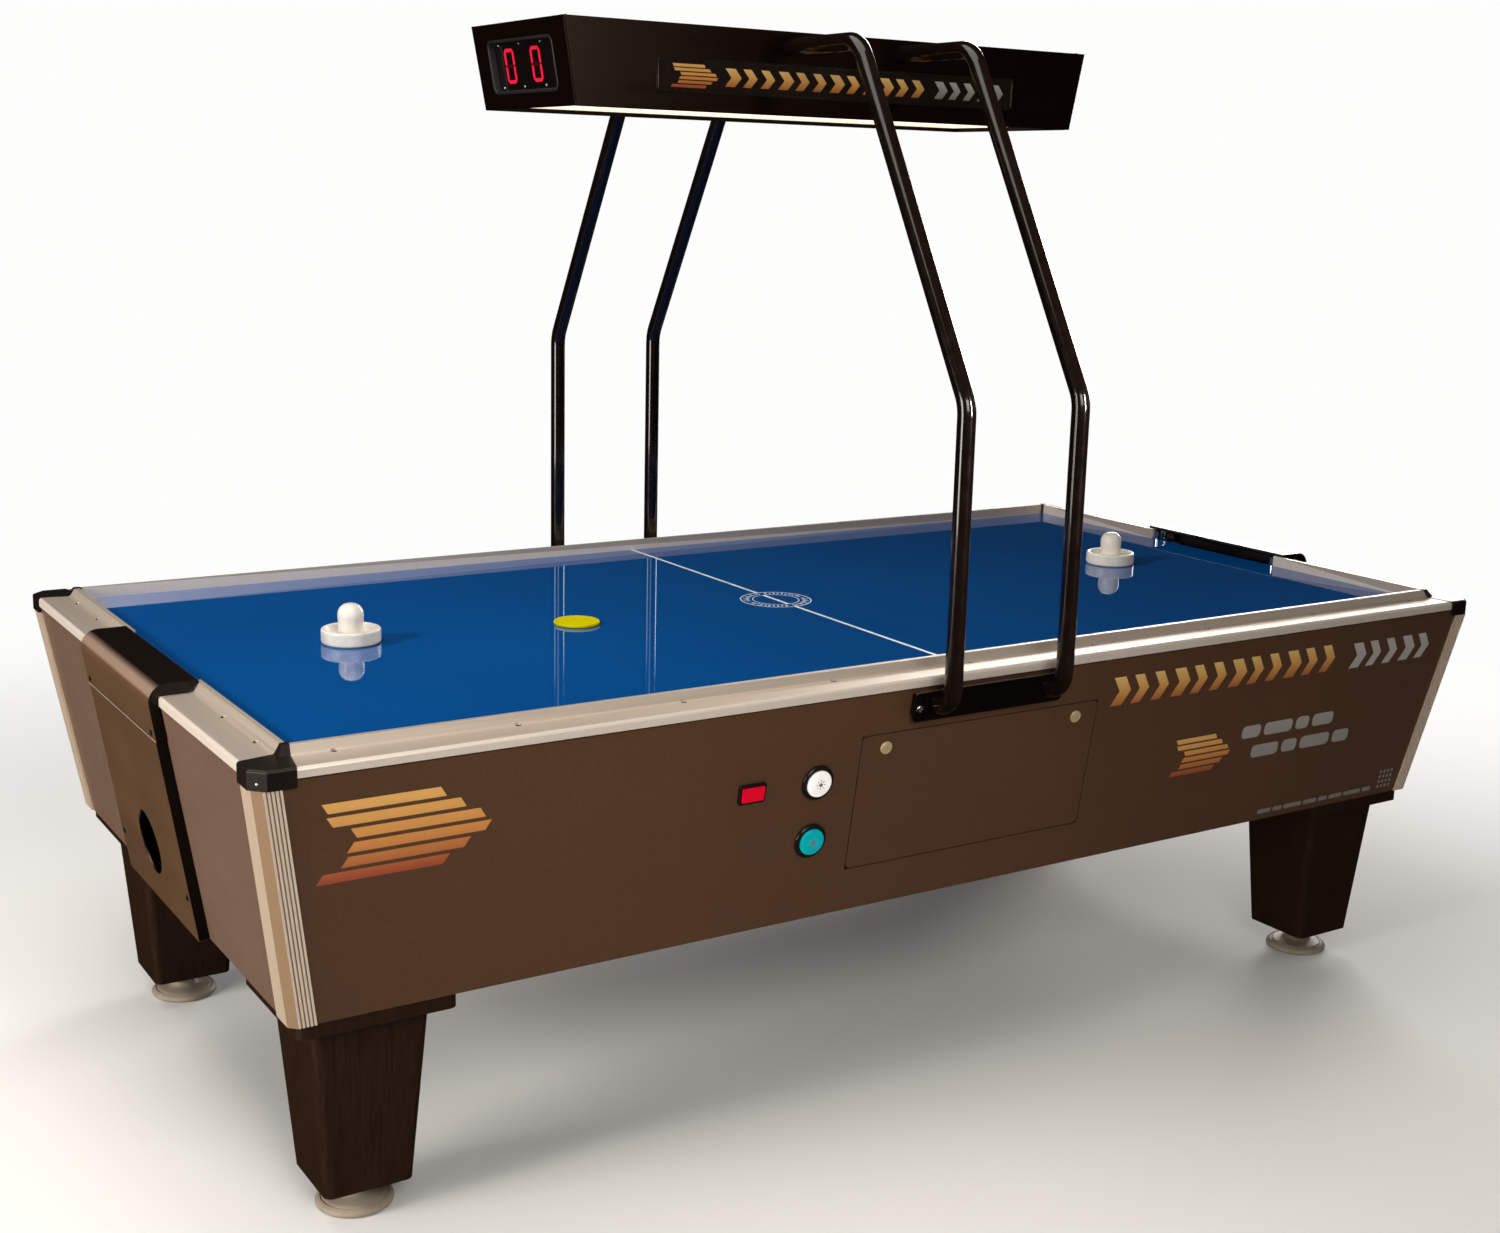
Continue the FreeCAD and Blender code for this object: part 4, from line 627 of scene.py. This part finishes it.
def smooth_line(points, parts=5):
    """Points on a smooth curve through the given ones. A point that is repeated stays a corner."""
    line = []
    for number in range(len(points) - 1):
        before = points[max(number - 1, 0)]
        start, end = points[number], points[number + 1]
        after = points[min(number + 2, len(points) - 1)]
        if start == end:
            continue
        for step in range(parts):
            t = step / parts
            weights = (-0.5 * t + t * t - 0.5 * t**3, 1 - 2.5 * t * t + 1.5 * t**3,
                       0.5 * t + 2 * t * t - 1.5 * t**3, -0.5 * t * t + 0.5 * t**3)
            line.append(tuple(sum(weight * point[axis] for weight, point in
                                  zip(weights, (before, start, end, after))) for axis in (0, 1)))
    line.append(points[-1])
    return [(max(radius, 0.0), height) for radius, height in line]


def slab(outline, low, high):
    """A flat outline of (x, y) in millimetres made into a plate from low to high."""
    part = bmesh.new()
    floor, roof = ([part.verts.new((x * MM, y * MM, z * MM)) for x, y in outline] for z in (low, high))
    part.faces.new(list(reversed(floor)))
    part.faces.new(roof)
    for number in range(len(outline)):
        follow = (number + 1) % len(outline)
        part.faces.new((floor[number], floor[follow], roof[follow], roof[number]))
    return part


def tube(loops):
    """A skin through closed loops of (x, y, z) in millimetres, in turn and back to the first."""
    part = bmesh.new()
    rings = [[part.verts.new((x * MM, y * MM, z * MM)) for x, y, z in loop] for loop in loops]
    for first, second in zip(rings, rings[1:] + rings[:1]):
        for number in range(len(first)):
            follow = (number + 1) % len(first)
            part.faces.new((first[number], first[follow], second[follow], second[number]))
    return part


def lift(outline, height):
    return [(x, y, height) for x, y in outline]


def band(outer, inner, low, high):
    """A flat ring between two outlines with the same number of points."""
    return tube([lift(outer, low), lift(outer, high), lift(inner, high), lift(inner, low)])


def oblong(left, right, low, high):
    """Outline of a rectangle between two x and two y."""
    return [(left, low), (right, low), (right, high), (left, high)]


def rounded(wide, tall, radius, steps=6):
    """Outline of a rectangle with rounded corners, about the origin."""
    outline = []
    for corner, (x, y) in enumerate(((1, 1), (-1, 1), (-1, -1), (1, -1))):
        for step in range(steps + 1):
            angle = math.pi / 2 * (corner + step / steps)
            outline.append((x * (wide / 2 - radius) + radius * math.cos(angle),
                            y * (tall / 2 - radius) + radius * math.sin(angle)))
    return outline


def circle(radius, steps=96):
    return [(radius * math.cos(2 * math.pi * step / steps), radius * math.sin(2 * math.pi * step / steps))
            for step in range(steps)]


def shift(x, y, z=0.0):
    """A small move in a piece's own plane, in millimetres."""
    return Matrix.Translation((x * MM, y * MM, z * MM))


def standing(name):
    """Where a round CAD node stands: the placement of its foot, its radius and its height in millimetres."""
    low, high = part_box(name)
    base = Matrix.Translation(((low.x + high.x) / 2, (low.y + high.y) / 2, low.z))
    return base, (high.x - low.x) / 2 / MM, (high.z - low.z) / MM


TURNS = {"front": 0, "right": 90, "rear": 180, "left": -90}


def leaning(side, reach, low, lean):
    """Placement on a leaning face: X along it, Y up it, Z outwards, from the middle of its bottom edge."""
    turn = Matrix.Rotation(math.radians(TURNS[side]), 4, "Z")
    return turn @ Matrix.Translation((0, -reach, low)) @ Matrix.Rotation(math.pi / 2 + lean, 4, "X")


def cabinet_face(side):
    """Placement on an outer face of the cabinet."""
    low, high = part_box("front_panel" if side in LONG_SIDES else "left_end_panel")
    top = high.z - PANEL_THICK * math.sin(SLANT)
    edge = -low.y if side in LONG_SIDES else -low.x
    return leaning(side, edge - (top - low.z) * math.tan(SLANT), low.z, SLANT)


def face_height(height):
    """Distance up a cabinet face, in millimetres, of a height in metres."""
    return (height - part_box("front_panel")[0].z) / math.cos(SLANT) / MM


def on_face(side, name):
    """Placement on an outer face of the cabinet, over the middle of a CAD node."""
    low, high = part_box(name)
    face = cabinet_face(side)
    local = face.inverted() @ ((low + high) / 2)
    return face @ Matrix.Translation((local.x, local.y, 0))


def cross_head(radius, tall, dome):
    """Screw head with a cross recess, standing on Z = 0."""
    rim, rise = tall * 0.45, tall * 0.55 + dome
    angles = [math.radians(degrees) for degrees in range(12, 90, 13)]
    profile = [(0, 0), (radius, 0), (radius, rim)]
    profile += [(radius * math.cos(angle), rim + rise * math.sin(angle)) for angle in angles]
    profile.append((0, tall + dome))
    arm, thick = radius * 0.55, radius * 0.13
    plus = [(thick, arm), (-thick, arm), (-thick, thick), (-arm, thick), (-arm, -thick), (-thick, -thick),
            (-thick, -arm), (thick, -arm), (thick, -thick), (arm, -thick), (arm, thick), (thick, thick)]
    made = []
    for name, part in (("head", lathe(profile, 24)), ("recess", slab(plus, tall * 0.35, tall + dome + 1))):
        bmesh.ops.recalc_face_normals(part, faces=part.faces)
        mesh = bpy.data.meshes.new(name)
        part.to_mesh(mesh)
        part.free()
        made.append(bpy.data.objects.new(name, mesh))
        bpy.context.scene.collection.objects.link(made[-1])
    head, recess = made
    cutter = head.modifiers.new("recess", "BOOLEAN")
    cutter.operation, cutter.solver, cutter.object = "DIFFERENCE", "EXACT", recess
    bpy.context.view_layer.update()
    result = bmesh.new()
    result.from_object(head, bpy.context.evaluated_depsgraph_get())
    for item in made:
        bpy.data.objects.remove(item)
    return result


# ---- loose playing gear

def mallet(hand):
    """White mallet with a raised rim and a domed grip, and the felt under it."""
    base, radius, tall = standing(f"{hand}_mallet")
    shell = smooth_line([
        (0, 1.2), (0, 1.2), (radius - 2.5, 1.2), (radius - 2.5, 1.2), (radius - 0.6, 1.9), (radius, 3.6),
        (radius, 3.6), (radius, 21.5), (radius, 21.5), (radius - 0.9, 24.2), (radius - 3.4, 25),
        (radius - 6.2, 24), (radius - 8.2, 20.5), (radius - 12, 14.5), (radius - 19, 12.2), (25.5, 12.4),
        (22.4, 14.2), (21.4, 18), (21.2, 30), (21.9, 40), (22.4, 47), (21.4, 54), (18.4, 60.2), (13.6, 64.8),
        (7, 67.4), (0, tall)])
    Piece(f"{hand}_mallet_shell", f"{hand}_mallet", "white_plastic").add(
        lathe(shell, 96), base, "white").done(f"{hand}_mallet")
    felt = [(0, 0), (radius - 3.5, 0), (radius - 2.8, 0.5), (radius - 3.2, 1.15), (0, 1.15)]
    Piece(f"{hand}_mallet_felt", f"{hand}_mallet").add(lathe(felt, 96), base, "felt").done()


def puck():
    """Flat yellow disc with rounded edges, a little hollow in the middle of both faces."""
    base, radius, thick = standing("puck")
    half = [(0, -0.35), (22, -0.35), (23.5, -0.1), (25, 0), (radius - 3.2, 0), (radius - 1.4, -0.25),
            (radius - 0.4, -0.9), (radius, -2.0)]
    profile = [(r, -z) for r, z in half] + [(r, thick + z) for r, z in reversed(half)]
    Piece("puck_disc", "puck", "puck_yellow", sharp=50).add(lathe(profile, 96), base, "yellow").done("puck")


# ---- playing surface markings

def markings():
    """White centre line, two rings and the ticks between them. Every eleventh tick is left out."""
    reach = -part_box("front_rail")[1].y / MM
    half, ring, inner = 3.4, 68.5, 45.0
    lines = Piece("centre_markings", slot="white_plastic")
    at = Matrix.Translation((0, 0, PLAY_TOP))
    for near, far in ((-reach, -ring - 1.4), (ring + 1.4, reach), (-inner, inner)):
        lines.add(slab(oblong(-half, half, near, far), *INLAY), at, "ink")
    for radius, wide in ((ring, 2.2), (inner, 1.6)):
        lines.add(band(circle(radius + wide / 2), circle(radius - wide / 2), *INLAY), at, "ink")
    ticks, start = 44, 52
    for number in range(ticks):
        if number % 11 == 10:
            continue
        turn = Matrix.Rotation(2 * math.pi * (number + 0.5) / ticks, 4, "Z")
        end = start + (12 if number % 2 else 7)
        lines.add(slab(oblong(start, end, -1.3, 1.3), *INLAY), at @ turn, "ink")
    lines.done()


# ---- fasteners

RAIL_SCREW_PITCH = 278.5
SCREW_LINE = 50  # how far in from a rail's edge its screws stand
END_SCREWS = (-506, -360, 360, 506)  # where the end rails' screws stand across the table
GOAL_SCREWS = (-185, 185)  # where the goals' screws stand across the table
GOAL_SCREW_HEIGHTS = (0.712, 0.437)  # one in the hood and one in the box
BRACKET_BOLTS = (-147, 147)
BRACKET_OUT = 18.05  # how far the bracket's face stands off the cabinet
CAP_LAP = 2  # how far the corner caps stand out past the rails' edges
CAP_BEVEL = 8.4 * MM  # how far the middle of a cap's cut corner lies in from both edges


def screws():
    """Every visible screw head. Only those in the corner caps have no plainer CAD stand-in."""
    signs = (-1, 1)
    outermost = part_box("corner_caps")[0]
    half_x, half_y = (-edge / MM - CAP_LAP for edge in (outermost.x, outermost.y))
    rail = Piece("rail_screw_heads", slot="screw_metal")
    line_y = half_y - SCREW_LINE
    spots = [(step * RAIL_SCREW_PITCH, sign * line_y) for step in range(-4, 5) for sign in signs]
    spots += [(sign * (half_x - SCREW_LINE), across) for sign in signs for across in END_SCREWS]
    for number, (x, y) in enumerate(spots):
        turn = Matrix.Rotation(number * 1.7, 4, "Z")
        place = Matrix.Translation((x * MM, y * MM, RAIL_TOP - 2.6 * MM)) @ turn
        rail.add(cross_head(4.3, 1.6, 0.7), place, "black_screw")
    rail.done("rail_screws")

    goal = Piece("goal_and_bracket_screws", slot="screw_metal")
    for side in ENDS:
        for across in GOAL_SCREWS:
            for height in GOAL_SCREW_HEIGHTS:
                turn = Matrix.Rotation(across + height, 4, "Z")
                place = cabinet_face(side) @ shift(across, face_height(height), BOX_DEPTH + 0.05) @ turn
                goal.add(cross_head(5, 1.2, 1.1), place, "black_screw")
    low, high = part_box("front_light_bracket")
    middle = face_height((low.z + high.z) / 2)
    for side in LONG_SIDES:
        for across in BRACKET_BOLTS:
            place = cabinet_face(side) @ shift(across, middle, BRACKET_OUT)
            goal.add(cross_head(6.6, 2.2, 1.6), place, "bright_screw")
    goal.done("black_screws")

    caps = Piece("corner_cap_screws")
    reach_x, reach_y = half_x * MM - CAP_BEVEL, half_y * MM - CAP_BEVEL
    for sign_x in signs:
        for sign_y in signs:
            spot = Vector((sign_x * reach_x, sign_y * reach_y, RAIL_TOP - 19 * MM))
            way = Vector((sign_x, sign_y, 0)).normalized()
            place = Matrix.Translation(spot) @ way.to_track_quat("Z", "Y").to_matrix().to_4x4()
            caps.add(cross_head(2.6, 0.7, 0.5), place, "bright_screw")
    caps.done()


# ---- levelling feet

def leveler(name):
    """Foot pad with a grooved skirt and a hub, then a jam nut and a threaded stem."""
    body = f"{name}_leveler"
    base, radius, _ = standing(body)
    skirt = [(-5, 0), (-3.5, 0.8), (-2.5, 1.8), (-0.4, 3.4), (0, 4.6), (0, 8.2), (-0.8, 9.8), (-3.4, 12.4),
             (-7, 14.2), (-8, 13.4), (-9.4, 13.4), (-10.4, 14.8)]
    hub = [(44, 15.6), (32, 18.2), (27, 19.6), (24.5, 23), (23.5, 27), (22, 28), (0, 28)]
    pad = [(0, 0)] + [(radius + inset, height) for inset, height in skirt] + hub
    foot = Piece(f"{name}_foot_pad", body, "foot_pad", sharp=50)
    foot.add(lathe(pad, 72), base, "pad").done(body)
    stem = Piece(f"{name}_foot_stem", body, "zinc", sharp=40)
    nut_low, nut_high, stem_top = 28, 39, 101
    stem.add(slab(circle(14.5, 6), nut_low, nut_high), base, "zinc")
    root, crest, pitch, turns = 8.6, 9.9, 2.5, 24
    thread = [(0, nut_high)]
    for number in range(turns):
        thread += [(across, nut_high + (number + part) * pitch)
                   for across, part in ((root, 0), (crest, 0.45), (crest, 0.6))]
    thread += [(root, nut_high + turns * pitch), (7.5, stem_top), (0, stem_top)]
    stem.add(lathe(thread, 32), base, "zinc").done()


# ---- push buttons

def lamp_icon(piece, place):
    """A small sun: a disc and eight rays."""
    piece.add(slab(circle(3.4, 24), 0, 0.25), place, "grey_ink")
    for number in range(8):
        turn = Matrix.Rotation(math.pi / 4 * number, 4, "Z")
        piece.add(slab(oblong(5.2, 8.6, -0.6, 0.6), 0, 0.25), place @ turn, "grey_ink")


def buttons():
    """Two round buttons in turned bezels, and the start button's lens in its moulded frame."""
    bezels = Piece("button_bezel_rings", slot="black_moulding", bevel=0.5 * MM)
    ring = smooth_line([
        (6.6, 1.4), (6.6, 1.4), (23.2, 1.4), (23.2, 1.4), (23.3, 5.2), (24.0, 6.0), (26.4, 6.2), (28.4, 5.4),
        (29.8, 3.2), (30, 0.25), (30, 0.25), (14, 0.25), (14, 0.25), (14, -23), (14, -23), (6.6, -23),
        (6.6, -23), (6.6, 1.4)], 4)
    cap = smooth_line([
        (0, 5.4), (0, 5.4), (22.2, 5.4), (22.2, 5.4), (22.6, 6.2), (22.5, 8.2), (21.4, 9.6), (19, 10.5),
        (13, 11.2), (6, 11.45), (0, 11.5)])
    plunger = [(0, -29.5), (5.8, -29.5), (5.8, 5.5), (0, 5.5)]
    for node, look, slot in (("white_light_button", "button_white", "white_plastic"),
                             ("black_light_button", "button_teal", "teal_plastic")):
        spot = on_face("front", node)
        bezels.add(lathe(ring, 72), spot, "bezel")
        button = Piece(f"{node}_cap", node, slot)
        button.add(lathe(cap, 72), spot, look).add(lathe(plunger, 32), spot, "white_part")
        lamp_icon(button, spot @ shift(0, 0, 11.48))
        button.done(node)

    spot = on_face("front", "start_button")
    bezels.add(band(rounded(50, 33, 4), rounded(42.4, 25.4, 2), 0.25, 5), spot, "bezel")
    bezels.add(band(rounded(37, 22, 1), rounded(13.5, 13.5, 1), -23.5, 1.2), spot, "bezel")
    bezels.add(band(rounded(44, 27, 2), rounded(36.5, 21.5, 1), 0.3, 1.2), spot, "bezel")
    bezels.done("button_bezels")
    key = Piece("start_button_lens", "start_button", "red_plastic", bevel=0.9 * MM)
    key.add(slab(rounded(41, 24, 2), 4.9, 8.5), spot, "button_red")
    key.add(slab(rounded(11.8, 11.8, 1), -26.5, 5), spot, "white_part")
    key.done("start_button")


# ---- printed stripes on the cabinet and the sign

def chevron(wide, tall, lean):
    """Outline of an arrow bar that points along +X, from its lower left corner."""
    return [(0, 0), (wide, 0), (wide + lean, tall / 2), (wide, tall), (0, tall), (lean, tall / 2)]


def chevron_row(piece, place, length, tall, count, look, depth=PRINT):
    """A row of arrow bars, every third one wider."""
    step = length / count
    lean = step * 0.36
    for number in range(count):
        bar = step * (0.46 if number % 3 else 0.56)
        piece.add(slab(chevron(bar, tall, lean), *depth), place @ shift(number * step, 0), look)


def pennant(piece, place, wide, tall, look, depth=PRINT):
    """Stacked bars whose ends step out to a point: a striped arrow."""
    rows = 6
    pitch = tall / rows
    for row in range(rows):
        near = abs(row - (rows - 1) / 2) / (rows / 2)
        start, end = wide * 0.26 * (1 - near) * 0.9, wide * (1 - 0.34 * near)
        if row % 2:
            start += wide * 0.05
        slope = pitch * (0.45 if row < rows / 2 else -0.45)
        low = row * pitch
        high = low + pitch * 0.72
        bar = [(start, low), (end, low), (end + slope, high), (start + slope, high)]
        piece.add(slab(bar, *depth), place, look)


def dash_row(piece, place, length, tall, sizes, look):
    """A row of rounded bars with these relative widths."""
    gap = 0.45
    unit, x = length / (sum(sizes) + gap * (len(sizes) - 1)), 0.0
    for size in sizes:
        wide = size * unit
        outline = [(px + x + wide / 2, py + tall / 2)
                   for px, py in rounded(wide, tall, min(tall, wide) * 0.35, 4)]
        piece.add(slab(outline, *PRINT), place, look)
        x += (size + gap) * unit


def cabinet_print():
    """Plain stripes, arrows and dots in gold, copper and silver foil on both long sides."""
    rail_edge = face_height(RAIL_TOP)
    for side in LONG_SIDES:
        face = cabinet_face(side)

        def at(x, down):
            """A place that far along the side and that far down from the rail's top."""
            return face @ shift(x, rail_edge - down)

        big = Piece(f"{side}_pennant_print")
        pennant(big, at(-1163, 186), 278, 130, "copper")
        big.done()
        gold = Piece(f"{side}_gold_arrow_print")
        chevron_row(gold, at(296, 109), 582, 55, 12, "gold")
        gold.done()
        silver = Piece(f"{side}_silver_arrow_print")
        chevron_row(silver, at(916, 111), 236, 52, 5, "silver")
        dash_row(silver, at(654, 224), 250, 26, (2.2, 3.4, 1.6, 2.6), "silver")
        dash_row(silver, at(690, 268), 270, 26, (3.2, 1.8, 3.6, 2.0), "silver")
        dash_row(silver, at(745, 396), 325, 9, (3, 2, 4, 3, 2, 3, 4, 2), "silver")
        for row in range(4):
            for column in range(4):
                dot = slab(rounded(6.5, 6.5, 1.5, 3), *PRINT)
                silver.add(dot, at(1092 + 11 * column, 392 - 11 * row), "silver")
        silver.done()
        small = Piece(f"{side}_small_pennant_print")
        pennant(small, at(474, 276), 160, 78, "copper")
        small.done()


CANOPY_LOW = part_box("canopy_long_panels")[0].z
LONG_BOARD = (0.174, math.atan(4 / 140))  # distance from the middle at the bottom edge, and lean
END_BOARD = (0.528, math.atan(25 / 140))
SCORE_HEIGHT = 1732


def canopy_face(side):
    """Placement on an outer face of the light unit."""
    reach, lean = LONG_BOARD if side in LONG_SIDES else END_BOARD
    return leaning(side, reach, CANOPY_LOW, lean)


def signs():
    """Dark sign plates with a fine metal edge and the same foil arrows."""
    plates = Piece("sign_plates", slot="sign", bevel=0.5 * MM)
    gold, silver, copper = Piece("sign_gold_arrows"), Piece("sign_silver_arrows"), Piece("sign_pennants")
    wide, tall, middle = 760, 56, 58
    for side in LONG_SIDES:
        at = canopy_face(side) @ shift(0, middle)
        plates.add(slab(rounded(wide, tall, 5), 0.1, 2.0), at, "sign")
        rim = band(rounded(wide - 5, tall - 5, 4), rounded(wide - 8, tall - 8, 3), 1.9, 2.3)
        plates.add(rim, at, "sign_edge")
        pennant(copper, at @ shift(-357, -20), 98, 40, "copper", SIGN_PRINT)
        chevron_row(gold, at @ shift(-248, -15), 428, 30, 12, "gold", SIGN_PRINT)
        chevron_row(silver, at @ shift(196, -15), 166, 30, 5, "silver", SIGN_PRINT)
    plates.done("canopy_signs")
    for piece in (gold, silver, copper):
        piece.done()


# ---- score displays

def segment_bar(long, thick):
    """One bar of a seven-segment digit, along X about the origin, with pointed ends."""
    half, tip = long / 2, thick / 2
    return [(-half, 0), (-half + tip, -tip), (half - tip, -tip),
            (half, 0), (half - tip, tip), (-half + tip, tip)]


def digit_zero(piece, place, wide, tall, thick):
    """A seven-segment 0 with its middle bar unlit."""
    across, up, gap = wide - thick, (tall - thick) / 2, 1.0
    for y, look in ((-up, "lit"), (0, "unlit"), (up, "lit")):
        piece.add(slab(segment_bar(across - gap, thick), 0, 0.7), place @ shift(0, y), look)
    upright = Matrix.Rotation(math.pi / 2, 4, "Z")
    for x in (-across / 2, across / 2):
        for y in (-up / 2, up / 2):
            piece.add(slab(segment_bar(up - gap, thick), 0, 0.7), place @ shift(x, y) @ upright, "lit")


def displays():
    """Recessed score windows: smoked filter, red digits, small screws and a rounded rim."""
    wide, tall, behind = 240, 82, -12.3
    glass, digits = Piece("score_filters", slot="display"), Piece("score_digits")
    heads = Piece("score_screws", slot="screw_metal")
    rims = Piece("score_window_rims", sharp=60)
    for side in ENDS:
        at = canopy_face(side) @ shift(0, SCORE_HEIGHT - CANOPY_LOW / MM)
        glass.add(slab(rounded(wide + 14, tall + 12, 4), behind - 4.8, behind), at, "acrylic")
        for x in (-68, 32):
            digit_zero(digits, at @ shift(x, 0, behind + 0.05), 36, 58, 5.8)
        for x in (-106, -26, 56):
            for y in (-35.5, 35.5):
                heads.add(cross_head(2.6, 0.8, 0.6), at @ shift(x, y, behind + 0.05), "bright_screw")
        rim = ((1.0, -11.8), (1.0, -1.5), (0.4, 0.4), (-1.2, 1.1), (-3.2, 0.9), (-4.2, 0.15))
        loops = [lift(rounded(wide - 2 * inset, tall - 2 * inset, 10 - inset, 8), out) for inset, out in rim]
        rims.add(tube(loops), at, "inner")
    glass.done("score_displays")
    for piece in (digits, heads, rims):
        piece.done()


# ---- power inlet pins and painted glints on hood edges

def inlet_pins():
    """Three brass pins in the power inlet, at its place along and up the rear face."""
    pins = Piece("power_inlet_pins", bevel=0.3 * MM)
    at = cabinet_face("rear") @ shift(700, 60)
    for x, y in ((-7, -2), (7, -2), (0, 3)):
        pins.add(slab(rounded(2.2, 5.5, 0.8, 3), -14, -2), at @ shift(x, y), "brass")
    pins.done()


def cover_edge_glints():
    """A painted glint: a thin bright strip along the edge of the hood's sheet, where it meets the box below
    it.
    """
    edges = Piece("goal_cover_edges")
    for side in ENDS:
        at = cabinet_face(side) @ shift(0, face_height(COVER_SEAM) + 1.2)
        strip = slab(oblong(-COVER_HALF, COVER_HALF, -0.7, 0.7), BOX_DEPTH + 0.03, BOX_DEPTH + 0.2)
        edges.add(strip, at, "edge_glint")
    edges.done()


dress_rails()
dress_trims()
shade_cover_insides()
make_camera()
make_floor()
make_light()
for hand in ENDS:
    mallet(hand)
puck()
markings()
screws()
for corner in ("front_left", "front_right", "rear_left", "rear_right"):
    leveler(corner)
buttons()
cabinet_print()
signs()
displays()
inlet_pins()
cover_edge_glints()

bpy.context.scene.view_settings.view_transform = "Standard"
